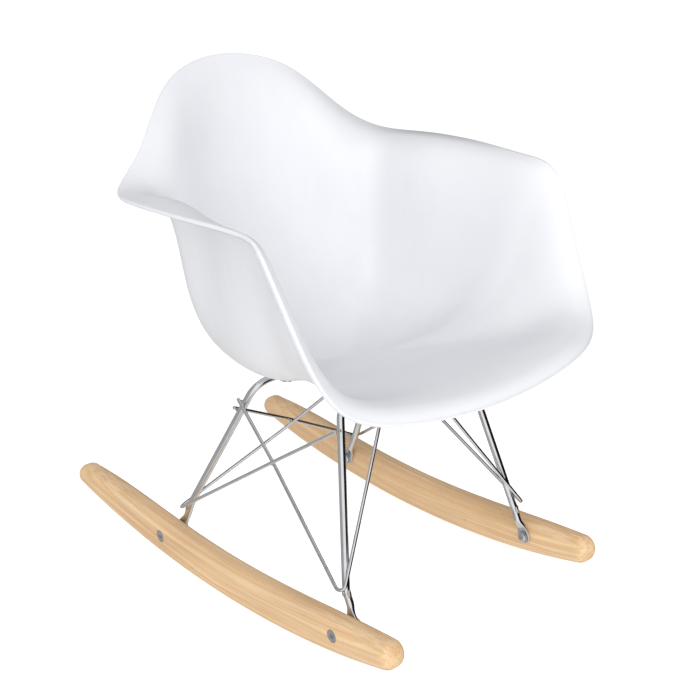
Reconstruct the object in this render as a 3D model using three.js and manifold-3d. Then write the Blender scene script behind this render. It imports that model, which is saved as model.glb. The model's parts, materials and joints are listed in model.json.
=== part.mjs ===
// A child's rocking chair: a moulded bucket shell on a frame of bent and welded chromed rod,
// which stands on two curved hardwood runners. Millimetres, +Z up, facing -Y, sitter's right at -X.
// The origin is on the floor, under the middle of the whole chair.

import * as THREE from "three";
import { mergeVertices } from "three/addons/utils/BufferGeometryUtils.js";
import { ParametricGeometry } from "three/addons/geometries/ParametricGeometry.js";
import Module from "manifold-3d";

const wasm = await Module();
wasm.setup();

// ---------------------------------------------------------------- driving dimensions

const GAP = 0.3; // left between pieces that touch

const RUNNER = {
  length: 555,
  middleY: -2.5, // of the two tips
  thickness: 28,
  spacing: 280, // between the middle planes of the two
  depth: 43, // height of the wood over the contact point
  frontEnd: { depth: 30, lift: 2 }, // lift is how far the underside has left the rolling circle
  rearEnd: { depth: 25, lift: 0.5 },
  radius: 1208, // of the rolling face
  contactY: -42, // where the chair rests on the floor
  facetAngle: 1.6, // degrees of the rolling face in one flat
  edge: 12, // rounding of the long edges
};

const ROD = 8; // diameter of the leg frames
const WIRE = 3.8; // diameter of the braces
const ROD_SIDES = 12;
const WIRE_SIDES = 8;
const BEND_STEP = 15; // degrees of a bend between two rings

// A leg frame, one side of it. The foot is where its screw goes, the knee is where the leg turns
// inwards off the runner, and the corner is where leg and cross run would meet if they weren't rounded.
const LEG_X = RUNNER.spacing / 2 - RUNNER.thickness / 2 - GAP - ROD / 2;
const FRONT = {
  foot: { y: -198, z: 34 },
  knee: { y: -185, z: 66 },
  corner: { x: 85, y: -147, z: 247 },
  radius: 24,
  tabSide: 1, // the tabs reach backwards from this frame's cross run
  tabTop: -1, // the tabs' upper face over the run's axis
};
const REAR = {
  foot: { y: 98, z: 34 },
  knee: { y: 78, z: 71 },
  corner: { x: 89, y: -15, z: 230 },
  radius: 22,
  tabSide: -1,
  tabTop: 2.5,
};
const KNEE_RADIUS = 20;

// Braces: each is one wire bent round the outer corner of a foot. Its side arm is welded to the
// other leg on the same side; a front brace's cross arm goes to the front cross run near its middle,
// a rear brace's to the opposite rear leg.
const BRACE = {
  bend: 6, // radius round the foot
  bow: 2.4, // how far two crossing wires are pushed apart, each
  crossAt: 0.68, // share of the way up the side arms at which they cross
  offset: ROD / 2 + GAP + WIRE / 2, // from a leg's axis to a wire welded on it
  footZ: 63,
  frontSideEndZ: 205, // on the rear leg
  frontCrossEndX: 22, // on the front cross run
  rearSideEndZ: 218, // on the front leg
  rearCrossEndZ: 193, // on the opposite rear leg
  tail: 7, // how far a wire runs past the leg it is welded to
  bowRadius: 400, // of the gentle bend at a crossing
};

// Feet and their fixings
const PADDLE = { thickness: 3, width: 15, hole: 6.6, neck: 17 };
const FOOT_WASHER = { outer: 13, hole: 6.4, thickness: 1.2 };
const FOOT_SCREW = { shank: 5.6, length: 25, head: 11, dome: 3.2, key: 3.5, keyDepth: 1.8 };
const SLEEVE = {
  barrel: 7.4,
  bore: 6.2,
  length: 20,
  blind: 17, // depth of the bore
  head: 13,
  headThickness: 2.1,
  key: 5,
  keyDepth: 1.6,
};
const SLEEVE_SEAT = { bore: 8, recess: 13.8, depth: 2.6 };

// Seat fixings, one set at each corner of the frame
const MOUNT_X = 55; // from the middle to each seat screw
const MOUNT_REACH = 14; // from the cross run's axis to the screw
const TAB = { width: 24, thickness: 2.5, hole: 6, end: 10, round: 6 };
const PAD = { outer: 18, hole: 6, thickness: 3 };
const BOSS = { diameter: 16, bore: 7.8, depth: 6.8 };
const INSERT = { outer: 7.2, bore: 5, length: 6 };
const SEAT_WASHER = { outer: 11, hole: 5.4, thickness: 1 };
const SEAT_SCREW = { shank: 4.4, length: 13, head: 9, dome: 2.6, key: 3, keyDepth: 1.5 };

// The shell's middle surface. RIM is the control polygon of its edge on the +X side, from the middle
// of the front lip over the arm to the middle of the back. From the lowest part of the pan to any
// point of the edge runs a section; its three inner handles stand at a reach (share of the way out)
// and a rise (share of the height), given for the front, the sides and the back.
const SHELL_WALL = 4;
const SHELL_BEAD = 5.6; // thickness of the rounded edge
const SHELL_PITCH = 3.2; // degrees that the shell's drawing is tipped forward about the X axis
const X_AXIS = new THREE.Vector3(1, 0, 0);
const PITCH = THREE.MathUtils.degToRad(SHELL_PITCH);
const PAN = { y: -47, z: 246.5, slope: 0.25 };
const RIM = [
  [0, -278, 274],
  [122, -275, 287],
  [179, -236, 293],
  [190, -194, 372],
  [201, -162, 447],
  [187, -129, 449],
  [202, -41, 446],
  [200, 49, 440],
  [185, 103, 434],
  [133, 118, 464],
  [84, 155, 530],
  [0, 178, 545],
];
const SECTION = [
  { reach: { front: 0.81, side: 0.67, back: 0.26 } },
  { reach: { front: 0.63, side: 0.97, back: 1.01 }, rise: { front: 0.96, side: 0.01, back: 0.12 } },
  { reach: { front: 1, side: 0.34, back: 0.745 }, rise: { front: 1, side: 1.3, back: 0.76 } },
];
// The front lip rolls over: there the last handle is lifted, fully up to one share of sideways
// and no longer past another.
const LIP = { roll: 33, full: 0.35, none: 0.95 };
// The arms' fold runs out towards the front: there the last handle gains this much reach and rise,
// from one distance in front of the pan's middle to another.
const FOLD_END = { from: -120, to: 100, reach: 0.4, rise: -0.35 };
const RIM_STEPS = 3; // around, for each length of the control polygon
const SECTION_STEPS = 11; // from pan to edge
const BEAD_STEPS = 4; // round the edge

// ---------------------------------------------------------------- materials

const finish = (color, roughness, metalness) =>
  new THREE.MeshStandardMaterial({ color, roughness, metalness });
const WHITE_SHELL = finish("#f2f2f2", 0.45, 0);
const CHROME = finish("#c9ccd0", 0.15, 1);
const ZINC = finish("#a9adb2", 0.35, 1);
const BRASS = finish("#b5924c", 0.4, 1);
const RUBBER = finish("#1d1d1e", 0.85, 0);
const MAPLE = finish("#e2c493", 0.55, 0);

// ---------------------------------------------------------------- solids

const chair = new THREE.Group();

// A closed mesh as a solid that can be joined and cut.
function solidOf(geometry) {
  const bare = geometry.index ? geometry.toNonIndexed() : geometry.clone();
  bare.deleteAttribute("normal");
  bare.deleteAttribute("uv");
  const merged = mergeVertices(bare, 1e-4);
  return new wasm.Manifold(
    new wasm.Mesh({
      numProp: 3,
      vertProperties: merged.attributes.position.array,
      triVerts: new Uint32Array(merged.index.array),
    }),
  );
}

function geometryOf(solid) {
  const mesh = solid.getMesh();
  const geometry = new THREE.BufferGeometry();
  geometry.setAttribute("position", new THREE.BufferAttribute(mesh.vertProperties, 3));
  geometry.setIndex(new THREE.BufferAttribute(mesh.triVerts, 1));
  const flat = geometry.toNonIndexed();
  flat.computeVertexNormals();
  return flat;
}

const joined = (base, ...others) =>
  geometryOf(others.reduce((sum, g) => sum.add(solidOf(g)), solidOf(base)));
const cut = (base, ...tools) =>
  geometryOf(tools.reduce((rest, g) => rest.subtract(solidOf(g)), solidOf(base)));

function add(name, geometry, material) {
  const mesh = new THREE.Mesh(geometry, material);
  mesh.name = name;
  chair.add(mesh);
  return mesh;
}

// A cylinder of the given diameter along X, from one x to another.
function barX(diameter, from, to, y, z, sides = 16) {
  const bar = new THREE.CylinderGeometry(diameter / 2, diameter / 2, Math.abs(to - from), sides);
  return bar.rotateZ(-Math.PI / 2).translate((from + to) / 2, y, z);
}

// A cylinder of the given diameter along Z, from one height to another.
function barZ(diameter, from, to, x, y, sides = 16) {
  const bar = new THREE.CylinderGeometry(diameter / 2, diameter / 2, to - from, sides);
  return bar.rotateX(Math.PI / 2).translate(x, y, (from + to) / 2);
}

// A closed lathe about Y from a profile of [radius, height] pairs that runs upwards on the outside.
const turned = (profile, sides = 16) =>
  new THREE.LatheGeometry(profile.map(([r, h]) => new THREE.Vector2(r, h)), sides);

const washer = ({ outer, hole, thickness }) =>
  turned([[hole / 2, 0], [outer / 2, 0], [outer / 2, thickness], [hole / 2, thickness], [hole / 2, 0]]);

// A domed screw whose head sits on height 0 with its shank below, and a hexagon socket in the head.
function domedScrew({ shank, length, head, dome, key, keyDepth }) {
  const profile = [
    [0, -length],
    [shank / 2 - 0.6, -length],
    [shank / 2, -length + 0.6],
    [shank / 2, 0],
    [head / 2, 0],
  ];
  for (let i = 1; i <= 5; i += 1) {
    const angle = (i / 5) * (Math.PI / 2);
    profile.push([(head / 2) * Math.cos(angle), 0.6 + (dome - 0.6) * Math.sin(angle)]);
  }
  profile[profile.length - 1][0] = 0;
  const socket = new THREE.CylinderGeometry(key / 2, key / 2, 2 * keyDepth, 6).translate(0, dome, 0);
  return cut(turned(profile), socket);
}

// ---------------------------------------------------------------- rod and wire

// A path that is only ever asked for its own stations, so straights need no rings of their own.
class RodPath extends THREE.Curve {
  constructor(stations) {
    super();
    this.stations = stations;
  }
  station(t) {
    return this.stations[Math.round(t * (this.stations.length - 1))];
  }
  getPointAt(t, target = new THREE.Vector3()) {
    return target.copy(this.station(t).point);
  }
  getTangentAt(t, target = new THREE.Vector3()) {
    return target.copy(this.station(t).tangent);
  }
}

// Stations along straight runs between the points, with an arc of the given radius at each inner point.
function bentStations(points, radii) {
  const stations = [];
  const push = (point, tangent) => stations.push({ point, tangent });
  const first = points[1].clone().sub(points[0]).normalize();
  push(points[0].clone(), first);
  for (let i = 1; i < points.length - 1; i += 1) {
    const into = points[i].clone().sub(points[i - 1]).normalize();
    const out = points[i + 1].clone().sub(points[i]).normalize();
    const turn = into.angleTo(out);
    const reach = radii[i - 1] * Math.tan(turn / 2);
    const start = points[i].clone().addScaledVector(into, -reach);
    const axis = into.clone().cross(out).normalize();
    const centre = start.clone().addScaledVector(axis.clone().cross(into), radii[i - 1]);
    const steps = Math.max(2, Math.ceil(THREE.MathUtils.radToDeg(turn) / BEND_STEP));
    for (let k = 0; k <= steps; k += 1) {
      const angle = (turn * k) / steps;
      const point = start.clone().sub(centre).applyAxisAngle(axis, angle).add(centre);
      push(point, into.clone().applyAxisAngle(axis, angle));
    }
  }
  const last = points.length - 1;
  push(points[last].clone(), points[last].clone().sub(points[last - 1]).normalize());
  return stations;
}

function rod(points, radii, diameter, sides) {
  const ring = [];
  for (let i = 0; i < sides; i += 1) {
    const angle = (2 * Math.PI * i) / sides;
    ring.push(new THREE.Vector2((diameter / 2) * Math.cos(angle), (diameter / 2) * Math.sin(angle)));
  }
  const stations = bentStations(points, radii);
  return new THREE.ExtrudeGeometry(new THREE.Shape(ring), {
    steps: stations.length - 1,
    extrudePath: new RodPath(stations),
    bevelEnabled: false,
  });
}

// ---------------------------------------------------------------- runners

const END_STEPS = 8;
const TOP_STEPS = 18;

// A point on the rolling circle at an angle from the contact point, raised along the radius.
function runnerPoint(angle, height) {
  const r = RUNNER.radius - height;
  return new THREE.Vector2(RUNNER.contactY + r * Math.sin(angle), RUNNER.radius - r * Math.cos(angle));
}

// The angle at which a rounded end of the runner has its centre; side is -1 at the front.
function endAngle({ depth, lift }, side) {
  const reach = RUNNER.middleY + side * (RUNNER.length / 2 - depth / 2) - RUNNER.contactY;
  return Math.asin(reach / (RUNNER.radius - lift - depth / 2));
}

// The runner in side view: flats along the rolling face, a round end, the top, the other round end.
function runnerOutline() {
  const { frontEnd, rearEnd, depth } = RUNNER;
  const front = endAngle(frontEnd, -1);
  const rear = endAngle(rearEnd, 1);
  const flat = THREE.MathUtils.degToRad(RUNNER.facetAngle);
  const share = (angle) => (2 * (angle - front)) / (rear - front) - 1;
  const endOf = (angle) => (share(angle) < 0 ? frontEnd : rearEnd);
  const low = (angle) => endOf(angle).lift * share(angle) ** 4;
  const high = (angle) => depth - (depth - endOf(angle).lift - endOf(angle).depth) * share(angle) ** 4;
  const points = [];
  const sag = RUNNER.radius * (1 - Math.cos(flat / 2));
  const addLow = (angle) => points.push(runnerPoint(angle, low(angle)).add(new THREE.Vector2(0, -sag)));
  addLow(front);
  for (let angle = (Math.ceil(front / flat) + 0.5) * flat; angle < rear - flat / 2; angle += flat) addLow(angle);
  addLow(rear);
  const roundEnd = (angle, end, from) => {
    const half = end.depth / 2;
    const centre = runnerPoint(angle, end.lift + half);
    for (let i = 1; i < END_STEPS; i += 1) {
      const around = angle + from + Math.PI * (i / END_STEPS);
      points.push(new THREE.Vector2(centre.x + half * Math.cos(around), centre.y + half * Math.sin(around)));
    }
  };
  roundEnd(rear, rearEnd, -Math.PI / 2);
  for (let i = 0; i <= TOP_STEPS; i += 1) {
    const angle = rear + (front - rear) * (i / TOP_STEPS);
    points.push(runnerPoint(angle, high(angle)));
  }
  roundEnd(front, frontEnd, Math.PI / 2);
  return points;
}

function runner(side) {
  const blank = new THREE.ExtrudeGeometry(new THREE.Shape(runnerOutline()), {
    depth: RUNNER.thickness - 2 * RUNNER.edge,
    bevelEnabled: true,
    bevelThickness: RUNNER.edge,
    bevelSize: RUNNER.edge,
    bevelOffset: -RUNNER.edge,
    bevelSegments: 3,
  });
  blank.translate(0, 0, RUNNER.edge - RUNNER.thickness / 2);
  const toSide = new THREE.Matrix4().makeBasis(
    new THREE.Vector3(0, 1, 0),
    new THREE.Vector3(0, 0, 1),
    new THREE.Vector3(1, 0, 0),
  );
  blank.applyMatrix4(toSide).translate((side * RUNNER.spacing) / 2, 0, 0);
  const outer = (side * (RUNNER.spacing + RUNNER.thickness)) / 2;
  const inner = (side * (RUNNER.spacing - RUNNER.thickness)) / 2;
  const tools = [];
  for (const { foot } of [FRONT, REAR]) {
    tools.push(barX(SLEEVE_SEAT.bore, inner - side, outer + side, foot.y, foot.z));
    tools.push(barX(SLEEVE_SEAT.recess, outer - side * SLEEVE_SEAT.depth, outer + side, foot.y, foot.z));
  }
  return cut(blank, ...tools);
}

// ---------------------------------------------------------------- leg frames

// The drilled flat at the foot of a leg, pressed against the runner's inner face.
function paddle(frame, side) {
  const along = new THREE.Vector2(frame.knee.y - frame.foot.y, frame.knee.z - frame.foot.z).normalize();
  const half = PADDLE.width / 2;
  const shape = new THREE.Shape();
  const turn = Math.atan2(along.y, along.x);
  shape.absarc(0, 0, half, turn + Math.PI / 2, turn - Math.PI / 2 + 2 * Math.PI, false);
  const across = new THREE.Vector2(-along.y, along.x);
  const neckX = along.x * PADDLE.neck;
  const neckY = along.y * PADDLE.neck;
  shape.lineTo(neckX - (across.x * ROD) / 2, neckY - (across.y * ROD) / 2);
  shape.lineTo(neckX + (across.x * ROD) / 2, neckY + (across.y * ROD) / 2);
  const hole = new THREE.Path();
  hole.absarc(0, 0, PADDLE.hole / 2, 0, 2 * Math.PI, true);
  shape.holes.push(hole);
  const plate = new THREE.ExtrudeGeometry(shape, {
    depth: PADDLE.thickness,
    bevelEnabled: false,
    curveSegments: 16,
  });
  const toSide = new THREE.Matrix4().makeBasis(
    new THREE.Vector3(0, 1, 0),
    new THREE.Vector3(0, 0, 1),
    new THREE.Vector3(1, 0, 0),
  );
  const outerFace = LEG_X + ROD / 2;
  const start = side > 0 ? outerFace - PADDLE.thickness : -outerFace;
  return plate.applyMatrix4(toSide).translate(start, frame.foot.y, frame.foot.z);
}

function legFrame(frame) {
  const along = new THREE.Vector2(frame.knee.y - frame.foot.y, frame.knee.z - frame.foot.z).normalize();
  const endY = frame.foot.y + along.x * (PADDLE.width / 2 + 1.5);
  const endZ = frame.foot.z + along.y * (PADDLE.width / 2 + 1.5);
  const half = [
    new THREE.Vector3(LEG_X, endY, endZ),
    new THREE.Vector3(LEG_X, frame.knee.y, frame.knee.z),
    new THREE.Vector3(frame.corner.x, frame.corner.y, frame.corner.z),
  ];
  const mirrored = half.map((p) => new THREE.Vector3(-p.x, p.y, p.z)).reverse();
  const radii = [KNEE_RADIUS, frame.radius, frame.radius, KNEE_RADIUS];
  const bent = rod([...half, ...mirrored], radii, ROD, ROD_SIDES);
  return joined(bent, paddle(frame, 1), paddle(frame, -1));
}

// The axis of a leg at a height, on the +X side.
function legAt(frame, z) {
  const { knee, corner, foot } = frame;
  if (z <= knee.z) {
    const t = (z - foot.z) / (knee.z - foot.z);
    return new THREE.Vector3(LEG_X, foot.y + t * (knee.y - foot.y), z);
  }
  const t = (z - knee.z) / (corner.z - knee.z);
  return new THREE.Vector3(LEG_X + t * (corner.x - LEG_X), knee.y + t * (corner.y - knee.y), z);
}

// ---------------------------------------------------------------- fixings of the feet

function footFixings(frame, side, place) {
  const plateInner = LEG_X + ROD / 2 - PADDLE.thickness;
  const washerX = plateInner - GAP - FOOT_WASHER.thickness;
  const headX = washerX - GAP;
  const outerFace = (RUNNER.spacing + RUNNER.thickness) / 2;
  const { y, z } = frame.foot;
  const lay = (geometry) => geometry.rotateZ((side * Math.PI) / 2);
  const washerGeometry = lay(washer(FOOT_WASHER)).translate(side * (washerX + FOOT_WASHER.thickness), y, z);
  add(`${place}_screw_washer`, washerGeometry, ZINC);
  add(`${place}_rocker_screw`, lay(domedScrew(FOOT_SCREW)).translate(side * headX, y, z), ZINC);
  const nutGeometry = sleeveNut().rotateZ((-side * Math.PI) / 2);
  add(`${place}_sleeve_nut`, nutGeometry.translate(side * (outerFace - 0.2), y, z), ZINC);
}

// A flanged sleeve nut with its face on height 0 and its barrel below.
function sleeveNut() {
  const { barrel, bore, length, blind, head, headThickness, key, keyDepth } = SLEEVE;
  const body = turned([
    [0, -length + blind],
    [bore / 2, -length + blind],
    [bore / 2, -length],
    [barrel / 2, -length],
    [barrel / 2, -headThickness],
    [head / 2, -headThickness],
    [head / 2, -0.5],
    [head / 2 - 0.5, 0],
    [0, 0],
  ]);
  const socket = new THREE.CylinderGeometry(key / 2, key / 2, 2 * keyDepth, 6);
  return cut(body, socket);
}

// ---------------------------------------------------------------- braces

// The direction square to a frame's legs, in the side view, pointing away from the chair's middle.
function outOf(frame) {
  const sign = frame === FRONT ? -1 : 1;
  const along = new THREE.Vector2(frame.corner.y - frame.knee.y, frame.corner.z - frame.knee.z).normalize();
  return new THREE.Vector3(0, sign * along.y, -sign * along.x);
}

// The direction square to the legs in the front view, pointing outboard on the +X side.
function outboard(frame) {
  const along = new THREE.Vector2(frame.corner.x - LEG_X, frame.corner.z - frame.knee.z).normalize();
  return new THREE.Vector3(along.y, 0, -along.x);
}

// Lengthens a run of wire past its last point.
const runOn = (from, to, extra) => to.clone().addScaledVector(to.clone().sub(from).normalize(), extra);

const mirrorX = (p) => new THREE.Vector3(-p.x, p.y, p.z);

// The point of the wire's corner round the foot of a leg.
function footCorner(frame) {
  const corner = legAt(frame, BRACE.footZ);
  const { foot, knee } = frame;
  const steepness = Math.hypot(knee.y - foot.y, knee.z - foot.z) / (knee.z - foot.z);
  corner.x += BRACE.offset + BRACE.bend;
  corner.y += (frame === FRONT ? -1 : 1) * (BRACE.offset * steepness + 0.5);
  return corner;
}

function sideArm(from, toFrame, endZ, bowSign) {
  const end = legAt(toFrame, endZ).addScaledVector(outboard(toFrame), BRACE.offset);
  const middle = from.clone().lerp(end, BRACE.crossAt);
  middle.addScaledVector(outboard(toFrame), bowSign * BRACE.bow);
  return { middle, end };
}

function frontBrace(side) {
  const corner = footCorner(FRONT);
  const arm = sideArm(corner, REAR, BRACE.frontSideEndZ, -1);
  const meet = new THREE.Vector3(BRACE.frontCrossEndX, FRONT.corner.y, FRONT.corner.z - BRACE.offset);
  const points = [meet, corner, arm.middle, runOn(arm.middle, arm.end, BRACE.tail)];
  const placed = side > 0 ? points : points.map(mirrorX);
  return rod(placed, [BRACE.bend, BRACE.bowRadius], WIRE, WIRE_SIDES);
}

function rearBrace(side) {
  const corner = footCorner(REAR);
  const arm = sideArm(corner, FRONT, BRACE.rearSideEndZ, 1);
  const across = mirrorX(legAt(REAR, BRACE.rearCrossEndZ)).addScaledVector(outOf(REAR), BRACE.offset);
  const share = corner.x / (corner.x - across.x);
  const crossing = corner.clone().lerp(across, share).addScaledVector(outOf(REAR), side * BRACE.bow);
  const points = [arm.end, arm.middle, corner, crossing, runOn(crossing, across, BRACE.tail)];
  const placed = side > 0 ? points : points.map(mirrorX);
  return rod(placed, [BRACE.bowRadius, BRACE.bend, BRACE.bowRadius], WIRE, WIRE_SIDES);
}

// ---------------------------------------------------------------- shell

const RIM_LOOP = [...RIM, ...RIM.slice(1, -1).reverse().map(([x, y, z]) => [-x, y, z])];

// A point of the shell's edge; t runs once round from the front middle, over the +X arm.
function rimPoint(t) {
  const count = RIM_LOOP.length;
  const along = (((t % 1) + 1) % 1) * count;
  const index = Math.floor(along);
  const u = along - index;
  const weights = [
    (1 - u) ** 3,
    3 * u ** 3 - 6 * u ** 2 + 4,
    -3 * u ** 3 + 3 * u ** 2 + 3 * u + 1,
    u ** 3,
  ];
  const point = new THREE.Vector3();
  weights.forEach((weight, k) => {
    const [x, y, z] = RIM_LOOP[(index - 1 + k + count) % count];
    point.addScaledVector(new THREE.Vector3(x, y, z), weight / 6);
  });
  return point;
}


// A point of the shell's middle surface; s runs from the pan's centre (0) to the edge (1).
function shellPoint(t, s) {
  const edge = rimPoint(t);
  const dx = edge.x;
  const dy = edge.y - PAN.y;
  const dz = edge.z - PAN.z;
  const side = (dx * dx) / (dx * dx + dy * dy);
  const blend = (part) => side * part.side + (1 - side) * (dy < 0 ? part.front : part.back);
  const handle = (reach, z) => new THREE.Vector3(reach * dx, PAN.y + reach * dy, z);
  const fade = side * THREE.MathUtils.smoothstep(-dy, FOLD_END.from, FOLD_END.to);
  const lift = dy < 0 ? LIP.roll * (1 - THREE.MathUtils.smoothstep(side, LIP.full, LIP.none)) : 0;
  const lastReach = blend(SECTION[2].reach) + fade * FOLD_END.reach;
  const lastRise = blend(SECTION[2].rise) + fade * FOLD_END.rise;
  const first = blend(SECTION[0].reach);
  const handles = [
    new THREE.Vector3(0, PAN.y, PAN.z),
    handle(first, PAN.z - PAN.slope * first * dy),
    handle(blend(SECTION[1].reach), PAN.z + blend(SECTION[1].rise) * dz),
    handle(lastReach, PAN.z + lastRise * dz + lift),
    edge,
  ];
  const q = 1 - s;
  const weights = [q ** 4, 4 * s * q ** 3, 6 * s * s * q * q, 4 * s ** 3 * q, s ** 4];
  const point = new THREE.Vector3();
  handles.forEach((h, k) => point.addScaledVector(h, weights[k]));
  return point.applyAxisAngle(X_AXIS, PITCH);
}

// The surface's outward run (towards the edge) and its normal on the sitter's side.
function shellFrame(t, s) {
  const step = 1e-3;
  const out = shellPoint(t, s).sub(shellPoint(t, s - step)).normalize();
  const around = shellPoint(t + step, s).sub(shellPoint(t - step, s));
  const panNormal = new THREE.Vector3(0, PAN.slope, 1).applyAxisAngle(X_AXIS, PITCH);
  const normal = s > 0 ? out.clone().cross(around) : panNormal;
  return { out, normal: normal.normalize() };
}

// One closed skin: up the inner face, round the beaded edge, and down the outer face.
// It goes round clockwise, so that its faces look outwards.
function shellSkin(u, v, target) {
  const t = 1 - u;
  const rows = 2 * SECTION_STEPS + BEAD_STEPS;
  const row = Math.round(v * rows);
  const innerRow = Math.min(row, SECTION_STEPS);
  const outerRow = Math.max(row - BEAD_STEPS, SECTION_STEPS);
  const s = (row <= SECTION_STEPS ? innerRow : 2 * SECTION_STEPS - outerRow) / SECTION_STEPS;
  const { out, normal } = shellFrame(t, s);
  const base = shellPoint(t, s);
  const onEdge = row >= SECTION_STEPS && row <= SECTION_STEPS + BEAD_STEPS;
  if (onEdge) {
    const angle = ((row - SECTION_STEPS) / BEAD_STEPS) * Math.PI;
    base.addScaledVector(normal, (SHELL_BEAD / 2) * Math.cos(angle));
    base.addScaledVector(out, (SHELL_BEAD / 2) * (Math.sin(angle) - 1));
  } else {
    base.addScaledVector(normal, (row < SECTION_STEPS ? 1 : -1) * (SHELL_WALL / 2));
  }
  target.copy(base);
}

const midSurface = new THREE.Mesh(new ParametricGeometry((t, s, p) => p.copy(shellPoint(t, s)), 88, 24));
midSurface.material.side = THREE.DoubleSide;

// The height of the shell's middle surface over a point of the pan.
function panHeight(x, y) {
  const up = new THREE.Raycaster(new THREE.Vector3(x, y, 0), new THREE.Vector3(0, 0, 1));
  return up.intersectObject(midSurface)[0].point.z;
}

const mounts = [];
for (const frame of [FRONT, REAR]) {
  for (const side of [1, -1]) {
    const place = `${frame === FRONT ? "front" : "rear"}_${side > 0 ? "left" : "right"}`;
    const tabTop = frame.corner.z + frame.tabTop;
    const y = frame.corner.y + frame.tabSide * MOUNT_REACH;
    mounts.push({ place, frame, side, x: side * MOUNT_X, y, tabTop, bossFoot: tabTop + PAD.thickness + 2 * GAP });
  }
}

// A moulded boss that grows from its flat foot up into the middle of the wall.
function boss({ x, y, bossFoot }) {
  const blank = barZ(BOSS.diameter, bossFoot, bossFoot + 1, x, y);
  const position = blank.attributes.position;
  for (let i = 0; i < position.count; i += 1) {
    if (position.getZ(i) > bossFoot + 0.5) position.setZ(i, panHeight(position.getX(i), position.getY(i)));
  }
  return blank;
}

function shell() {
  const around = RIM_LOOP.length * RIM_STEPS;
  const skin = new ParametricGeometry(shellSkin, around, 2 * SECTION_STEPS + BEAD_STEPS);
  const bores = mounts.map((m) => barZ(BOSS.bore, m.bossFoot - 1, m.bossFoot + BOSS.depth, m.x, m.y));
  return cut(joined(skin, ...mounts.map(boss)), ...bores);
}

// ---------------------------------------------------------------- seat fixings

// A drilled plate welded along the flank of a cross run.
function tab({ frame, x, tabTop }) {
  const near = ROD / 2 + GAP;
  const far = MOUNT_REACH + TAB.end;
  const half = TAB.width / 2;
  const { round } = TAB;
  const shape = new THREE.Shape();
  shape.moveTo(-half, near);
  shape.lineTo(half, near);
  shape.lineTo(half, far - round);
  shape.quadraticCurveTo(half, far, half - round, far);
  shape.lineTo(-half + round, far);
  shape.quadraticCurveTo(-half, far, -half, far - round);
  const hole = new THREE.Path();
  hole.absarc(0, MOUNT_REACH, TAB.hole / 2, 0, 2 * Math.PI, true);
  shape.holes.push(hole);
  const plate = new THREE.ExtrudeGeometry(shape, { depth: TAB.thickness, bevelEnabled: false, curveSegments: 6 });
  if (frame.tabSide < 0) plate.rotateZ(Math.PI);
  return plate.translate(x, frame.corner.y, tabTop - TAB.thickness);
}

const upright = (geometry) => geometry.rotateX(Math.PI / 2);

function seatFixings(mount) {
  const { place, x, y, tabTop, bossFoot } = mount;
  const tabBottom = tabTop - TAB.thickness;
  add(`${place}_mounting_tab`, tab(mount), CHROME);
  add(`${place}_rubber_pad`, upright(washer(PAD)).translate(x, y, tabTop + GAP), RUBBER);
  const insert = { outer: INSERT.outer, hole: INSERT.bore, thickness: INSERT.length };
  add(`${place}_threaded_insert`, upright(washer(insert)).translate(x, y, bossFoot + GAP), BRASS);
  const washerTop = tabBottom - GAP;
  const washerGeometry = upright(washer(SEAT_WASHER));
  add(`${place}_seat_washer`, washerGeometry.translate(x, y, washerTop - SEAT_WASHER.thickness), ZINC);
  const screw = domedScrew(SEAT_SCREW).rotateX(-Math.PI / 2);
  add(`${place}_seat_screw`, screw.translate(x, y, washerTop - SEAT_WASHER.thickness - GAP), ZINC);
}

// ---------------------------------------------------------------- assembly

add("seat_shell", shell(), WHITE_SHELL);
add("left_rocker", runner(1), MAPLE);
add("right_rocker", runner(-1), MAPLE);
add("front_leg_frame", legFrame(FRONT), CHROME);
add("rear_leg_frame", legFrame(REAR), CHROME);
for (const [side, sideName] of [[1, "left"], [-1, "right"]]) {
  add(`front_${sideName}_brace`, frontBrace(side), CHROME);
  add(`rear_${sideName}_brace`, rearBrace(side), CHROME);
  footFixings(FRONT, side, `front_${sideName}`);
  footFixings(REAR, side, `rear_${sideName}`);
}
mounts.forEach(seatFixings);

// The origin goes under the middle of the whole chair.
const whole = new THREE.Box3().setFromObject(chair);
chair.position.y = -(whole.min.y + whole.max.y) / 2;
const group = new THREE.Group();
group.add(chair);

export default group;
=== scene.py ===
import json
import logging
import math
from collections.abc import Callable, Iterator, Sequence
from contextlib import contextmanager
from dataclasses import dataclass, field
from enum import Enum
from functools import cache
from typing import ClassVar

import bmesh
import bpy
from mathutils import Matrix, Vector, noise
from mathutils.bvhtree import BVHTree

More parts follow.
